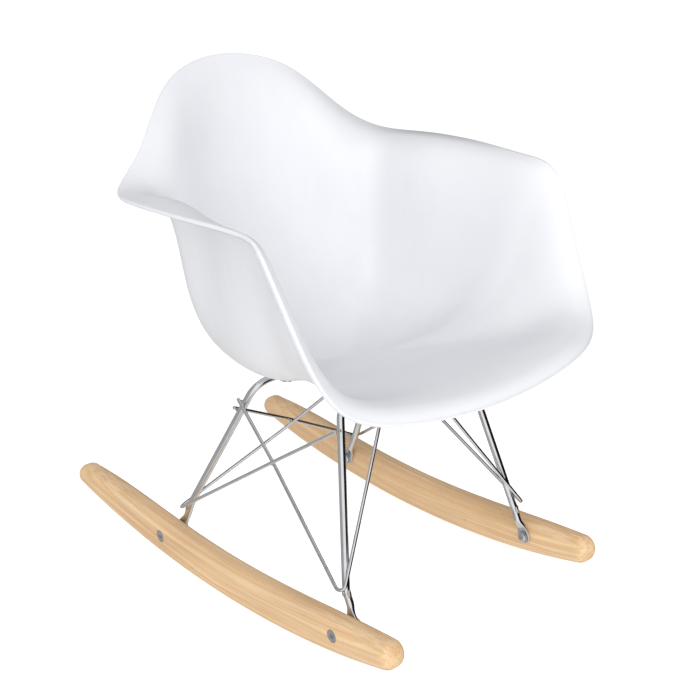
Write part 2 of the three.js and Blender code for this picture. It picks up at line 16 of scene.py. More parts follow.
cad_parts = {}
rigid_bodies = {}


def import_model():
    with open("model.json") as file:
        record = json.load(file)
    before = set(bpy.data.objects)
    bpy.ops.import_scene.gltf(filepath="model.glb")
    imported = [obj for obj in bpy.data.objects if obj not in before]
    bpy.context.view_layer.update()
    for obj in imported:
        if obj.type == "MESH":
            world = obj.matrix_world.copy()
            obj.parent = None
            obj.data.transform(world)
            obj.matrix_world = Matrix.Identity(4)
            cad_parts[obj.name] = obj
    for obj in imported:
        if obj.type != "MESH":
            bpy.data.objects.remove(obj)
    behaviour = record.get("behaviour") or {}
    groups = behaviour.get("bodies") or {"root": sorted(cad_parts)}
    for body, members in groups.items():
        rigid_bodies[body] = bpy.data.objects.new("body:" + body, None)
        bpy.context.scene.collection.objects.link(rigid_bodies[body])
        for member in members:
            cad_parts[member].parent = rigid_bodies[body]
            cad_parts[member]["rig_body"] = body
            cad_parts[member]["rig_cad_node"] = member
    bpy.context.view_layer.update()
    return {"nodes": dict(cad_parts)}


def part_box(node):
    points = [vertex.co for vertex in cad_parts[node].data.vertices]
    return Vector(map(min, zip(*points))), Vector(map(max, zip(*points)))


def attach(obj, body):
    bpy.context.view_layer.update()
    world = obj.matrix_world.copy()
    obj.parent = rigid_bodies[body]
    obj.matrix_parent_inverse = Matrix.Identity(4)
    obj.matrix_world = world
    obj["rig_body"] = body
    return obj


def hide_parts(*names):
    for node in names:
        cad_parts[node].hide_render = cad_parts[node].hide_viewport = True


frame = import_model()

MM = 0.001
SHARP = 1.2  # radians between two faces, past which their edge is a sharp one
SQUARE_ON = 0.9  # a face looks a way when its normal goes this far that way

log = logging.getLogger("rocking_chair")


class Side(Enum):
    """The sitter's left or right, with the sign of X there."""

    LEFT = 1
    RIGHT = -1

    @property
    def word(self) -> str:
        """The side's name as the frame's nodes spell it."""
        return self.name.lower()


class Slot(Enum):
    """The record's material slots."""

    SHELL = "shell"
    RUNNER = "runner"
    ROD = "rod"
    ZINC = "zinc"
    BRASS = "brass"
    PAD = "pad"


# ---------------------------------------------------------------- tools of the bench


def to_chair(point: Sequence[float]) -> Vector:
    """A point of the chair's drawing, in millimetres, as a point of the frame in metres."""
    return Vector(point) * MM + Vector((0.0, drawing_shift(), 0.0))


@cache
def drawing_shift() -> float:
    """How far the drawing stands back from the frame along Y, in metres, read off the runner's rear tip."""
    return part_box("left_rocker")[1].y - Runner.rear_tip * MM


def smooth(value: float, low: float, high: float) -> float:
    """A smooth step.

    Args:
        value: where on the step.
        low: the value at which it starts to rise.
        high: the value at which it has risen to 1.

    Returns:
        A share from 0 to 1.
    """
    share = min(1.0, max(0.0, (value - low) / (high - low)))
    return share * share * (3 - 2 * share)


def deselect_all() -> None:
    """Leaves nothing selected, in object mode."""
    if bpy.context.object and bpy.context.object.mode != "OBJECT":
        bpy.ops.object.mode_set(mode="OBJECT")
    bpy.ops.object.select_all(action="DESELECT")


def select_only(obj: bpy.types.Object) -> None:
    """Selects one object and makes it the active one.

    Args:
        obj: the object.
    """
    deselect_all()
    obj.select_set(True)
    bpy.context.view_layer.objects.active = obj


@contextmanager
def editing(obj: bpy.types.Object) -> Iterator[None]:
    """Edit mode on one object, with nothing of its mesh selected to begin with.

    Args:
        obj: the object.

    Yields:
        Nothing; the edits are made inside the with block.
    """
    select_only(obj)
    bpy.ops.object.mode_set(mode="EDIT")
    bpy.ops.mesh.select_mode(type="FACE")
    bpy.ops.mesh.select_all(action="DESELECT")
    yield
    bpy.ops.object.mode_set(mode="OBJECT")


def pick_faces(obj: bpy.types.Object, wanted: Callable[[bmesh.types.BMFace], bool]) -> int:
    """Selects in edit mode the faces that a test wants, and no others.

    Args:
        obj: the object in edit mode.
        wanted: the test of one face.

    Returns:
        How many faces are selected.
    """
    bpy.ops.mesh.select_mode(type="FACE")
    mesh = bmesh.from_edit_mesh(obj.data)
    for face in mesh.faces:
        face.select_set(False)
    chosen = [face for face in mesh.faces if wanted(face)]
    for face in chosen:
        face.select_set(True)
    bmesh.update_edit_mesh(obj.data)
    return len(chosen)


def pick_edges(obj: bpy.types.Object, wanted: Callable[[bmesh.types.BMEdge], bool]) -> int:
    """Selects in edit mode the edges that a test wants, and no others.

    Args:
        obj: the object in edit mode.
        wanted: the test of one edge.

    Returns:
        How many edges are selected.
    """
    bpy.ops.mesh.select_mode(type="EDGE")
    mesh = bmesh.from_edit_mesh(obj.data)
    for edge in mesh.edges:
        edge.select_set(False)
    chosen = [edge for edge in mesh.edges if wanted(edge)]
    for edge in chosen:
        edge.select_set(True)
    bmesh.update_edit_mesh(obj.data)
    return len(chosen)


def apply_modifier(obj: bpy.types.Object, kind: str, **settings: object) -> None:
    """Adds one modifier and applies it.

    Args:
        obj: the object it is for.
        kind: the modifier's type.
        settings: its properties by name.
    """
    select_only(obj)
    modifier = obj.modifiers.new(kind.title(), kind)
    for key, value in settings.items():
        setattr(modifier, key, value)
    bpy.ops.object.modifier_apply(modifier=modifier.name)


def cut_away(obj: bpy.types.Object, tool: bpy.types.Object) -> None:
    """Cuts a tool's shape out of an object and throws the tool away."""
    apply_modifier(obj, "BOOLEAN", operation="DIFFERENCE", solver="EXACT", object=tool)
    bpy.data.objects.remove(tool)


def settle(obj: bpy.types.Object, place: Matrix | None = None) -> bpy.types.Object:
    """Puts an object's place into its mesh, so that the object itself is at the origin.

    Args:
        obj: the object.
        place: a further transform, applied first.

    Returns:
        The same object.
    """
    if place is not None:
        obj.matrix_world = place @ obj.matrix_world
    select_only(obj)
    bpy.ops.object.transform_apply(location=True, rotation=True, scale=True)
    return obj


def outward(obj: bpy.types.Object) -> None:
    """Merges doubled points and turns all faces outwards.

    Args:
        obj: the object.
    """
    with editing(obj):
        bpy.ops.mesh.select_all(action="SELECT")
        bpy.ops.mesh.remove_doubles(threshold=1e-6)
        bpy.ops.mesh.normals_make_consistent(inside=False)


def shade(obj: bpy.types.Object, angle: float = 40.0) -> None:
    """Shades an object smooth but for edges sharper than an angle in degrees."""
    select_only(obj)
    bpy.ops.object.shade_smooth_by_angle(angle=math.radians(angle))


def twin(obj: bpy.types.Object) -> bpy.types.Object:
    """A copy of an object with a mesh of its own.

    Args:
        obj: the object.

    Returns:
        The copy.
    """
    copy = obj.copy()
    copy.data = obj.data.copy()
    bpy.context.scene.collection.objects.link(copy)
    return copy


def joined(pieces: Sequence[bpy.types.Object]) -> bpy.types.Object:
    """Several objects as one.

    Args:
        pieces: the objects, of which the first takes in the rest.

    Returns:
        The first of them.
    """
    deselect_all()
    for piece in pieces:
        piece.select_set(True)
    bpy.context.view_layer.objects.active = pieces[0]
    if len(pieces) > 1:
        bpy.ops.object.join()
    return pieces[0]


def bar(diameter: float, start: Vector, end: Vector, sides: int = 48) -> bpy.types.Object:
    """A plain round bar, as a blank or as a cutting tool.

    Args:
        diameter: in metres.
        start: the middle of one end.
        end: the middle of the other end.
        sides: faces round it.

    Returns:
        The bar.
    """
    along = end - start
    deselect_all()
    bpy.ops.mesh.primitive_cylinder_add(
        vertices=sides,
        radius=diameter / 2,
        depth=along.length,
        location=(start + end) / 2,
        rotation=along.to_track_quat("Z", "Y").to_euler(),
    )
    return settle(bpy.context.object)


def hand_in(
    obj: bpy.types.Object,
    name: str,
    material: bpy.types.Material,
    replaces: Sequence[str] = (),
) -> bpy.types.Object:
    """Names a finished piece, dresses it and has it ride on the chair.

    Args:
        obj: the piece, in place.
        name: its name.
        material: the finish as a material.
        replaces: the frame's nodes it stands for.

    Returns:
        The piece.
    """
    obj.name = name
    obj.data.name = name
    obj.data.materials.clear()
    obj.data.materials.append(material)
    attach(obj, "root")
    if replaces:
        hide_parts(*replaces)
    log.info("%s: %d faces", name, len(obj.data.polygons))
    return obj


# ---------------------------------------------------------------- finishes


class Bench:
    """A material's node tree, with short words for adding and linking nodes."""

    def __init__(self, name: str) -> None:
        """Starts a material whose shader is joined to its output.

        Args:
            name: the material's name.
        """
        self.material = bpy.data.materials.new(name)
        self.material.use_nodes = True
        self.tree = self.material.node_tree
        self.shader = self.tree.nodes["Principled BSDF"]

    def node(
        self, kind: str, settings: dict[str, object] | None = None, **inputs: object
    ) -> bpy.types.Node:
        """Adds a node.

        Args:
            kind: its type, without the ShaderNode in front.
            settings: the node's own properties.
            inputs: its sockets' names, with _ for a space, and a value or an output socket for each.

        Returns:
            The node.
        """
        made = self.tree.nodes.new("ShaderNode" + kind)
        for key, value in (settings or {}).items():
            setattr(made, key, value)
        for key, value in inputs.items():
            self.feed(made.inputs[key.replace("_", " ")], value)
        return made

    def feed(self, socket: bpy.types.NodeSocket, value: object) -> None:
        """Fills an input socket.

        Args:
            socket: the input.
            value: an output socket to link to it, or a value to set it to.
        """
        if isinstance(value, bpy.types.NodeSocket):
            self.tree.links.new(value, socket)
        else:
            socket.default_value = value

    def place(self, scale: tuple[float, float, float], attribute: str = "") -> bpy.types.NodeSocket:
        """Coordinates of the piece, stretched.

        Args:
            scale: the stretch along each axis.
            attribute: the name of the piece's own attribute, or nothing for Object coordinates.

        Returns:
            The socket of the stretched coordinates.
        """
        if attribute:
            start = self.node("Attribute", {"attribute_name": attribute}).outputs["Vector"]
        else:
            start = self.node("TexCoord").outputs["Object"]
        return self.node("Mapping", Vector=start, Scale=scale).outputs["Vector"]

    def speckle(
        self, place: bpy.types.NodeSocket, scale: float, detail: float = 3.0, distortion: float = 0.0
    ) -> bpy.types.NodeSocket:
        """A cloudy pattern from 0 to 1 at coordinates, of a fineness."""
        cloud = self.node("TexNoise", Vector=place, Scale=scale, Detail=detail, Distortion=distortion)
        return cloud.outputs["Fac"]

    def spread(
        self, value: bpy.types.NodeSocket, low: float, high: float, start: float = 0.3, end: float = 0.7
    ) -> bpy.types.NodeSocket:
        """Spreads one part of a pattern over another range.

        Args:
            value: the pattern.
            low: what the part's start becomes.
            high: what the part's end becomes.
            start: where the part starts.
            end: where the part ends.

        Returns:
            The socket of the spread pattern.
        """
        made = self.node("MapRange", Value=value)
        for key, number in (("From Min", start), ("From Max", end), ("To Min", low), ("To Max", high)):
            made.inputs[key].default_value = number
        return made.outputs["Result"]

    def blend(self, share: object, first: object, second: object) -> bpy.types.NodeSocket:
        """Mixes two colours.

        Args:
            share: how much of the second there is, as a number or a pattern.
            first: a colour or a pattern.
            second: a colour or a pattern.

        Returns:
            The socket of the mixed colour.
        """
        mix = self.node("Mix", {"data_type": "RGBA"})
        self.feed(mix.inputs["Factor"], share)
        self.feed(mix.inputs[6], first)
        self.feed(mix.inputs[7], second)
        return mix.outputs[2]

    def bump(self, height: bpy.types.NodeSocket, depth: float, strength: float = 1.0) -> None:
        """Raises the surface by a pattern, to a depth in metres."""
        made = self.node("Bump", Height=height, Strength=strength, Distance=depth)
        self.feed(self.shader.inputs["Normal"], made.outputs["Normal"])


Colour = tuple[float, float, float, float]


def colour(red: float, green: float, blue: float) -> Colour:
    """A colour as the screen shows it, 0 to 255 each, as the shader's light values."""
    return (*(((c / 255 + 0.055) / 1.055) ** 2.4 for c in (red, green, blue)), 1.0)


@dataclass(frozen=True)
class MouldedPlastic:
    """Injection moulded plastic with a satin skin."""

    name: str
    tone: Colour
    shadow_tone: Colour
    gloss: tuple[float, float] = (0.3, 0.4)

    def material(self) -> bpy.types.Material:
        """Makes the finish: cloudy tone, faint flow marks, and the fine grain of the mould.

        Returns:
            The material.
        """
        bench = Bench(self.name)
        place = bench.place((1, 1, 1))
        cloud = bench.speckle(place, 9, 4)
        flow = bench.speckle(bench.place((60, 60, 14)), 1, 3, 0.6)
        share = bench.node("Math", {"operation": "MULTIPLY"})
        bench.feed(share.inputs[0], bench.spread(cloud, 0, 1))
        bench.feed(share.inputs[1], bench.spread(flow, 0.4, 1))
        tone = bench.blend(share.outputs[0], self.tone, self.shadow_tone)
        bench.feed(bench.shader.inputs["Base Color"], tone)
        bench.feed(bench.shader.inputs["Roughness"], bench.spread(cloud, *self.gloss))
        bench.bump(bench.speckle(place, 1500, 2), 0.00002, 0.35)
        bench.shader.inputs["IOR"].default_value = 1.49
        return bench.material


@dataclass(frozen=True)
class Hardwood:
    """Pale close-grained hardwood under a clear satin lacquer, with its grain along the piece."""

    name: str
    early: Colour
    late: Colour
    fleck: Colour

    def material(self) -> bpy.types.Material:
        """Makes the finish: broad growth bands, fine fibres, short flecks and a little relief.

        Returns:
            The material.
        """
        bench = Bench(self.name)
        bands = bench.speckle(bench.place((2.2, 105, 105), "grain"), 1, 3, 0.6)
        lines = bench.speckle(bench.place((5, 420, 420), "grain"), 1, 4, 0.3)
        fibres = bench.speckle(bench.place((26, 2600, 2600), "grain"), 1, 2)
        flecks = bench.speckle(bench.place((150, 1500, 1500), "grain"), 1, 1)
        clouds = bench.speckle(bench.place((9, 20, 20), "grain"), 1, 2)
        tone = bench.blend(bench.spread(bands, 0, 0.6, 0.35, 0.68), self.early, self.late)
        tone = bench.blend(bench.spread(lines, 0, 0.75, 0.42, 0.7), tone, self.late)
        tone = bench.blend(bench.spread(flecks, 0, 0.5, 0.64, 0.78), tone, self.fleck)
        shine = bench.spread(clouds, 0.93, 1.05)
        value = bench.node("HueSaturation", Color=tone, Value=shine)
        bench.feed(bench.shader.inputs["Base Color"], value.outputs["Color"])
        bench.feed(bench.shader.inputs["Roughness"], bench.spread(lines, 0.42, 0.56))
        bench.bump(bench.blend(0.5, fibres, lines), 0.00006, 0.5)
        bench.shader.inputs["Coat Weight"].default_value = 0.12
        bench.shader.inputs["Coat Roughness"].default_value = 0.25
        return bench.material


@dataclass(frozen=True)
class Metal:
    """A plated or bare metal."""

    name: str
    tone: Colour
    dull_tone: Colour
    gloss: tuple[float, float]
    grain: float
    depth: float

    def material(self) -> bpy.types.Material:
        """Makes the finish: its tone dulled in patches, uneven gloss, and the grain of its surface.

        Returns:
            The material.
        """
        bench = Bench(self.name)
        place = bench.place((1, 1, 1))
        patches = bench.speckle(place, 70, 5)
        tone = bench.blend(bench.spread(patches, 0, 1, 0.4, 0.75), self.tone, self.dull_tone)
        bench.feed(bench.shader.inputs["Base Color"], tone)
        bench.feed(bench.shader.inputs["Roughness"], bench.spread(patches, *self.gloss))
        bench.bump(bench.speckle(place, self.grain, 3), self.depth, 0.4)
        bench.shader.inputs["Metallic"].default_value = 1.0
        return bench.material


@dataclass(frozen=True)
class Rubber:
    """Moulded black rubber."""

    name: str
    tone: Colour
    dusty_tone: Colour

    def material(self) -> bpy.types.Material:
        """Makes the finish: matt, with a dusty bloom and a pebbled skin.

        Returns:
            The material.
        """
        bench = Bench(self.name)
        place = bench.place((1, 1, 1))
        dust = bench.speckle(place, 240, 4)
        tone = bench.blend(bench.spread(dust, 0, 0.6), self.tone, self.dusty_tone)
        bench.feed(bench.shader.inputs["Base Color"], tone)
        bench.feed(bench.shader.inputs["Roughness"], bench.spread(dust, 0.7, 0.9))
        bench.bump(bench.speckle(place, 3000, 2), 0.0001, 0.5)
        return bench.material


@dataclass
class Finishes:
    """All the chair's finishes, each made into a material once."""

    shell: bpy.types.Material = field(
        default_factory=lambda: MouldedPlastic(
            "white satin plastic", colour(236, 237, 240), colour(231, 232, 236)
        ).material()
    )
    wood: bpy.types.Material = field(
        default_factory=lambda: Hardwood(
            "lacquered maple", colour(241, 210, 168), colour(214, 169, 119), colour(186, 138, 90)
        ).material()
    )
    chrome: bpy.types.Material = field(
        default_factory=lambda: Metal(
            "polished chrome", colour(228, 229, 232), colour(214, 215, 219), (0.05, 0.11), 900, 0.000004
        ).material()
    )
    weld: bpy.types.Material = field(
        default_factory=lambda: Metal(
            "chromed weld", colour(206, 206, 208), colour(170, 168, 166), (0.16, 0.3), 1400, 0.00012
        ).material()
    )
    zinc: bpy.types.Material = field(
        default_factory=lambda: Metal(
            "zinc plate", colour(216, 217, 220), colour(190, 191, 194), (0.3, 0.45), 2200, 0.00004
        ).material()
    )
    brass: bpy.types.Material = field(
        default_factory=lambda: Metal(
            "turned brass", colour(200, 164, 92), colour(160, 122, 62), (0.25, 0.42), 1800, 0.00004
        ).material()
    )
    rubber: bpy.types.Material = field(
        default_factory=lambda: Rubber("black rubber", colour(30, 30, 31), colour(58, 58, 59)).material()
    )


# ---------------------------------------------------------------- the bucket shell


@dataclass(frozen=True)
class Handle:
    """An inner handle of the shell's sections: its share of the way out and of the height, by direction."""

    reach_front: float
    reach_side: float
    reach_back: float
    rise_front: float = 0.0
    rise_side: float = 0.0
    rise_back: float = 0.0


@dataclass
class BucketShell:
    """The moulded seat, back and arms, drawn as sections from the pan's middle to the edge."""

    wall: float = 4.0
    bead: float = 5.4
    pitch: float = 3.2  # degrees that the drawing of the shell is tipped forward
    pan: tuple[float, float, float] = (0.0, -47.0, 246.5)
    pan_slope: float = 0.25
    around: int = 288  # faces once round a ring
    even_rings: int = 46
    edge_rings: tuple[float, ...] = (0.985, 0.991, 0.9955, 0.999)
    thickening: tuple[float, float] = (0.982, 0.993)  # where the wall grows into the bead
    rounding: float = 0.46  # how much of the bead each of its edges is rounded over
    rim: tuple[tuple[float, float, float], ...] = (
        (0, -278, 274), (122, -275, 287), (179, -236, 293), (190, -194, 372),
        (201, -162, 447), (187, -129, 449), (202, -41, 446), (200, 49, 440),
        (185, 103, 434), (133, 118, 464), (84, 155, 530), (0, 178, 545),
    )
    handles: tuple[Handle, Handle, Handle] = (
        Handle(0.81, 0.67, 0.26),
        Handle(0.63, 0.97, 1.01, 0.96, 0.01, 0.12),
        Handle(1.0, 0.34, 0.745, 1.0, 1.3, 0.76),
    )
    lip_roll: float = 33.0  # lifts the outermost handle at the front lip, so that the lip rolls over
    lip_fade: tuple[float, float] = (0.35, 0.95)  # from the front towards the side, where the roll fades
    fold_end: tuple[float, float] = (0.4, -0.35)  # what the handle gains in reach and in rise at the arms
    fold_run: tuple[float, float] = (-120.0, 100.0)  # from behind the pan's middle forwards, where it does
    boss_diameter: float = 16.0
    boss_bore: float = 7.8
    boss_depth: float = 6.8
    boss_blank: float = 12.0  # the height a boss is made with before it is fitted to the wall
    boss_reach: float = 0.3  # how far its foot comes down past the insert
    boss_edge: float = 0.5
    loop: tuple[Vector, ...] = field(init=False)

    def __post_init__(self) -> None:
        """Closes the rim's control points round the far side."""
        mirrored = tuple((-x, y, z) for x, y, z in reversed(self.rim[1:-1]))
        self.loop = tuple(Vector(p) for p in self.rim + mirrored)

    def rim_point(self, turn: float) -> Vector:
        """A point of the edge, on a smooth curve by the rim's points.

        Args:
            turn: the direction, once round from 0 at the front middle, over the left arm.

        Returns:
            The point.
        """
        count = len(self.loop)
        along = (turn % 1.0) * count
        index = int(along)
        u = along - index
        weights = ((1 - u) ** 3, 3 * u**3 - 6 * u**2 + 4, -3 * u**3 + 3 * u**2 + 3 * u + 1, u**3)
        point = Vector((0, 0, 0))
        for k, weight in enumerate(weights):
            point += self.loop[(index - 1 + k) % count] * (weight / 6)
        return point

    def surface_point(self, turn: float, out: float) -> Vector:
        """A point of the wall's middle surface, in millimetres of the drawing.

        Args:
            turn: the direction, once round from 0 to 1.
            out: how far out, from the pan's middle at 0 to the edge at 1.

        Returns:
            The point.
        """
        edge = self.rim_point(turn)
        middle = Vector(self.pan)
        span = edge - middle
        side = span.x**2 / (span.x**2 + span.y**2)
        forward = span.y < 0

        def mixed(front: float, beside: float, back: float) -> float:
            """The value for this direction."""
            return side * beside + (1 - side) * (front if forward else back)

        first, second, third = self.handles
        points = [middle]
        reach = mixed(first.reach_front, first.reach_side, first.reach_back)
        points.append(middle + Vector((reach * span.x, reach * span.y, -self.pan_slope * reach * span.y)))
        for handle in (second, third):
            reach = mixed(handle.reach_front, handle.reach_side, handle.reach_back)
            rise = mixed(handle.rise_front, handle.rise_side, handle.rise_back)
            points.append(middle + Vector((reach * span.x, reach * span.y, rise * span.z)))
        reach, rise = self.fold_end
        share = side * smooth(-span.y, *self.fold_run)
        points[3] += share * Vector((reach * span.x, reach * span.y, rise * span.z))
        if forward:
            points[3].z += self.lip_roll * (1 - smooth(side, *self.lip_fade))
        points.append(edge)
        q = 1 - out
        weights = (q**4, 4 * out * q**3, 6 * out**2 * q**2, 4 * out**3 * q, out**4)
        point = sum((p * w for p, w in zip(points, weights)), Vector((0, 0, 0)))
        return Matrix.Rotation(math.radians(self.pitch), 3, "X") @ point

    def rings(self) -> list[float]:
        """Where the sections' points lie, close together near the edge."""
        return [k / self.even_rings for k in range(self.even_rings)] + list(self.edge_rings)

    def build_skin(self) -> bpy.types.Object:
        """Lays a grid along the sections and sews it up at its seam and pole.

        Returns:
            The wall's middle surface, facing down and out.
        """
        rings = self.rings()
        deselect_all()
        bpy.ops.mesh.primitive_grid_add(x_subdivisions=self.around, y_subdivisions=len(rings) - 1, size=1)
        skin = bpy.context.object
        group = skin.vertex_groups.new(name="bead")
        for vertex in skin.data.vertices:
            row = round((vertex.co.y + 0.5) * (len(rings) - 1))
            group.add([vertex.index], smooth(rings[row], *self.thickening), "REPLACE")
            vertex.co = to_chair(self.surface_point(vertex.co.x + 0.5, rings[row]))
        with editing(skin):
            bpy.ops.mesh.select_all(action="SELECT")
            bpy.ops.mesh.remove_doubles(threshold=1e-5)
            bpy.ops.mesh.normals_make_consistent(inside=False)
        lowest = min(skin.data.polygons, key=lambda face: face.center.z)
        if lowest.normal.z < 0:
            with editing(skin):
                bpy.ops.mesh.select_all(action="SELECT")
                bpy.ops.mesh.flip_normals()
        return skin

    def build(self, finishes: Finishes) -> None:
        """Makes the shell and its bosses.

        Args:
            finishes: the chair's finishes.
        """
        skin = self.build_skin()
        tree = BVHTree.FromPolygons(
            [v.co for v in skin.data.vertices], [list(p.vertices) for p in skin.data.polygons]
        )
        apply_modifier(
            skin,
            "SOLIDIFY",
            thickness=self.bead * MM,
            offset=0.0,
            use_rim=True,
            vertex_group="bead",
            thickness_vertex_group=self.wall / self.bead,
        )
        with editing(skin):
            pick_edges(skin, lambda edge: edge.is_manifold and edge.calc_face_angle(0) > math.radians(60))
            bpy.ops.mesh.bevel(
                offset=self.bead * self.rounding * MM,
                segments=6,
                profile=0.5,
                affect="EDGES",
                clamp_overlap=False,
            )
        shade(skin, 60)
        hand_in(skin, "bucket_shell", finishes.shell, ["seat_shell"])
        bosses = joined([self.boss(place, tree) for place in SeatFixing.places()])
        shade(bosses, 35)
        hand_in(bosses, "shell_bosses", finishes.shell)

    def boss(self, place: str, tree: BVHTree) -> bpy.types.Object:
        """One moulded boss, from its flat foot over the rubber pad up into the wall.

        Args:
            place: the corner of the seat, such as front_left.
            tree: the wall's middle surface.

        Returns:
            The boss.
        """
        low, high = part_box(f"{place}_threaded_insert")
        middle = (low + high) / 2
        foot = Vector((middle.x, middle.y, low.z - self.boss_reach * MM))
        post = bar(self.boss_diameter * MM, foot, foot + Vector((0, 0, self.boss_blank * MM)), 64)
        with editing(post):
            pick_faces(post, lambda face: face.normal.z < -SQUARE_ON)
            bpy.ops.mesh.inset(thickness=(self.boss_diameter - self.boss_bore) / 2 * MM)
            bpy.ops.mesh.extrude_region_move(
                TRANSFORM_OT_translate={"value": (0, 0, self.boss_depth * MM)}
            )
            nearly = (self.boss_diameter / 2 - 0.1) * MM
            pick_edges(
                post,
                lambda edge: all(v.co.z < foot.z + 0.01 * MM for v in edge.verts)
                and max((v.co - foot).length for v in edge.verts) > nearly,
            )
            bpy.ops.mesh.bevel(offset=self.boss_edge * MM, segments=3, affect="EDGES")
        top = foot.z + (self.boss_blank - 1) * MM
        for vertex in post.data.vertices:
            if vertex.co.z > top:
                hit = tree.ray_cast(Vector((vertex.co.x, vertex.co.y, 0)), Vector((0, 0, 1)))[0]
                vertex.co.z = hit.z
        return post


# ---------------------------------------------------------------- the runners


@dataclass
class Runner:
    """One curved hardwood runner with rounded edges and ends."""

    rear_tip: ClassVar[float] = 275.0

    side: Side = Side.LEFT
    front_tip: float = -280.0
    thickness: float = 28.0
    spacing: float = 280.0
    depth: float = 43.0
    radius: float = 1208.0
    contact: float = -42.0
    edge: float = 12.0
    front_end: tuple[float, float] = (30.0, 2.0)  # depth, and lift off the rolling circle
    rear_end: tuple[float, float] = (25.0, 0.5)
    steps: int = 72
    end_steps: int = 20
    bolt_hole: float = 8.0
    recess: tuple[float, float] = (13.8, 2.6)  # diameter and depth, for the nut's flange
    apart: float = 0.7  # metres along the grain from the plank's middle to each runner

    def place(self, angle: float, height: float) -> Vector:
        """A point of the side view, over the rolling circle at an angle from the contact point."""
        reach = self.radius - height
        return Vector((self.contact + reach * math.sin(angle), self.radius - reach * math.cos(angle)))

    def end_angle(self, end: tuple[float, float], tip: float, sign: int) -> float:
        """The angle at which a round end has its centre."""
        depth, lift = end
        return math.asin((tip - sign * depth / 2 - self.contact) / (self.radius - lift - depth / 2))

    def outline(self) -> list[Vector]:
        """The runner in the side view, once round.

        Returns:
            The points: the underside, the rear end, the top and the front end.
        """
        front = self.end_angle(self.front_end, self.front_tip, -1)
        rear = self.end_angle(self.rear_end, self.rear_tip, 1)
        points = []

        def heights(angle: float) -> tuple[float, float]:
            """The heights over the rolling circle.

            Args:
                angle: where along the runner.

            Returns:
                The underside's height and the top's.
            """
            share = 2 * (angle - front) / (rear - front) - 1
            depth, lift = self.front_end if share < 0 else self.rear_end
            taper = share**4
            return lift * taper, self.depth - (self.depth - lift - depth) * taper

        def round_end(angle: float, end: tuple[float, float], start: float) -> None:
            """Adds the points of a round end.

            Args:
                angle: where it has its centre.
                end: its depth and its lift off the rolling circle.
                start: the direction in which it starts.
            """
            half = end[0] / 2
            centre = self.place(angle, end[1] + half)
            for k in range(1, self.end_steps):
                turn = angle + start + math.pi * k / self.end_steps
                points.append(centre + half * Vector((math.cos(turn), math.sin(turn))))

        for k in range(self.steps + 1):
            angle = front + (rear - front) * k / self.steps
            points.append(self.place(angle, heights(angle)[0]))
        round_end(rear, self.rear_end, -math.pi / 2)
        for k in range(self.steps + 1):
            angle = rear + (front - rear) * k / self.steps
            points.append(self.place(angle, heights(angle)[1]))
        round_end(front, self.front_end, math.pi / 2)
        return points

    def build(self, finishes: Finishes) -> None:
        """Makes the runner: its side as one face, pulled to the thickness, rounded, and bored.

        Args:
            finishes: the chair's finishes.
        """
        outline = self.outline()
        outer = self.side.value * (self.spacing + self.thickness) / 2
        inner = self.side.value * (self.spacing - self.thickness) / 2
        deselect_all()
        bpy.ops.mesh.primitive_circle_add(vertices=len(outline), radius=1, fill_type="NGON")
        wood = bpy.context.object
        for vertex, point in zip(wood.data.vertices, outline):
            vertex.co = to_chair((inner, point.x, point.y))
        with editing(wood):
            bpy.ops.mesh.select_all(action="SELECT")
            bpy.ops.mesh.extrude_region_move(
                TRANSFORM_OT_translate={"value": ((outer - inner) * MM, 0, 0)}
            )
            bpy.ops.mesh.select_all(action="SELECT")
            bpy.ops.mesh.normals_make_consistent(inside=False)
            pick_edges(wood, lambda edge: abs(edge.verts[0].co.x - edge.verts[1].co.x) < 1e-6)
            bpy.ops.mesh.bevel(
                offset=self.edge * MM, segments=9, profile=0.5, affect="EDGES", clamp_overlap=False
            )
            pick_faces(wood, lambda face: abs(face.normal.x) > SQUARE_ON and len(face.verts) > self.steps)
            bpy.ops.mesh.inset(thickness=0.4 * MM)
        for end in ("front", "rear"):
            self.bore(wood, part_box(f"{end}_{self.side.word}_sleeve_nut"))
        self.mark_grain(wood)
        shade(wood, 40)
        hand_in(wood, f"{self.side.word}_runner", finishes.wood, [f"{self.side.word}_rocker"])

    def bore(self, wood: bpy.types.Object, nut: tuple[Vector, Vector]) -> None:
        """Bores the runner for a sleeve nut: right through, with a recess for the nut's flange.

        Args:
            wood: the runner.
            nut: the nut's box.
        """
        low, high = nut
        middle = (low + high) / 2
        sign = self.side.value
        outer = Vector((sign * (self.spacing + self.thickness) / 2 * MM, middle.y, middle.z))
        along = Vector((sign * MM, 0, 0))
        clear = outer + 10 * along
        cut_away(wood, bar(self.bolt_hole * MM, outer - (self.thickness + 12) * along, clear))
        diameter, depth = self.recess
        cut_away(wood, bar(diameter * MM, outer - depth * along, clear, 64))

    def mark_grain(self, wood: bpy.types.Object) -> None:
        """Gives each point its place in the plank: along the curve, over the curve, and across.

        Args:
            wood: the runner.
        """
        centre = to_chair((0, self.contact, self.radius))
        marks = wood.data.attributes.new("grain", "FLOAT_VECTOR", "POINT")
        for vertex, mark in zip(wood.data.vertices, marks.data):
            arm = vertex.co - centre
            along = math.atan2(arm.y, -arm.z) * self.radius * MM
            over = self.radius * MM - math.hypot(arm.y, arm.z)
            mark.vector = (along + self.apart * self.side.value, over, vertex.co.x)


# ---------------------------------------------------------------- bent rod


ROUND_END = ((0.0, 0.45), (0.15, 0.7), (0.45, 0.9), (1.0, 1.0))  # along the rounding, and of the radius


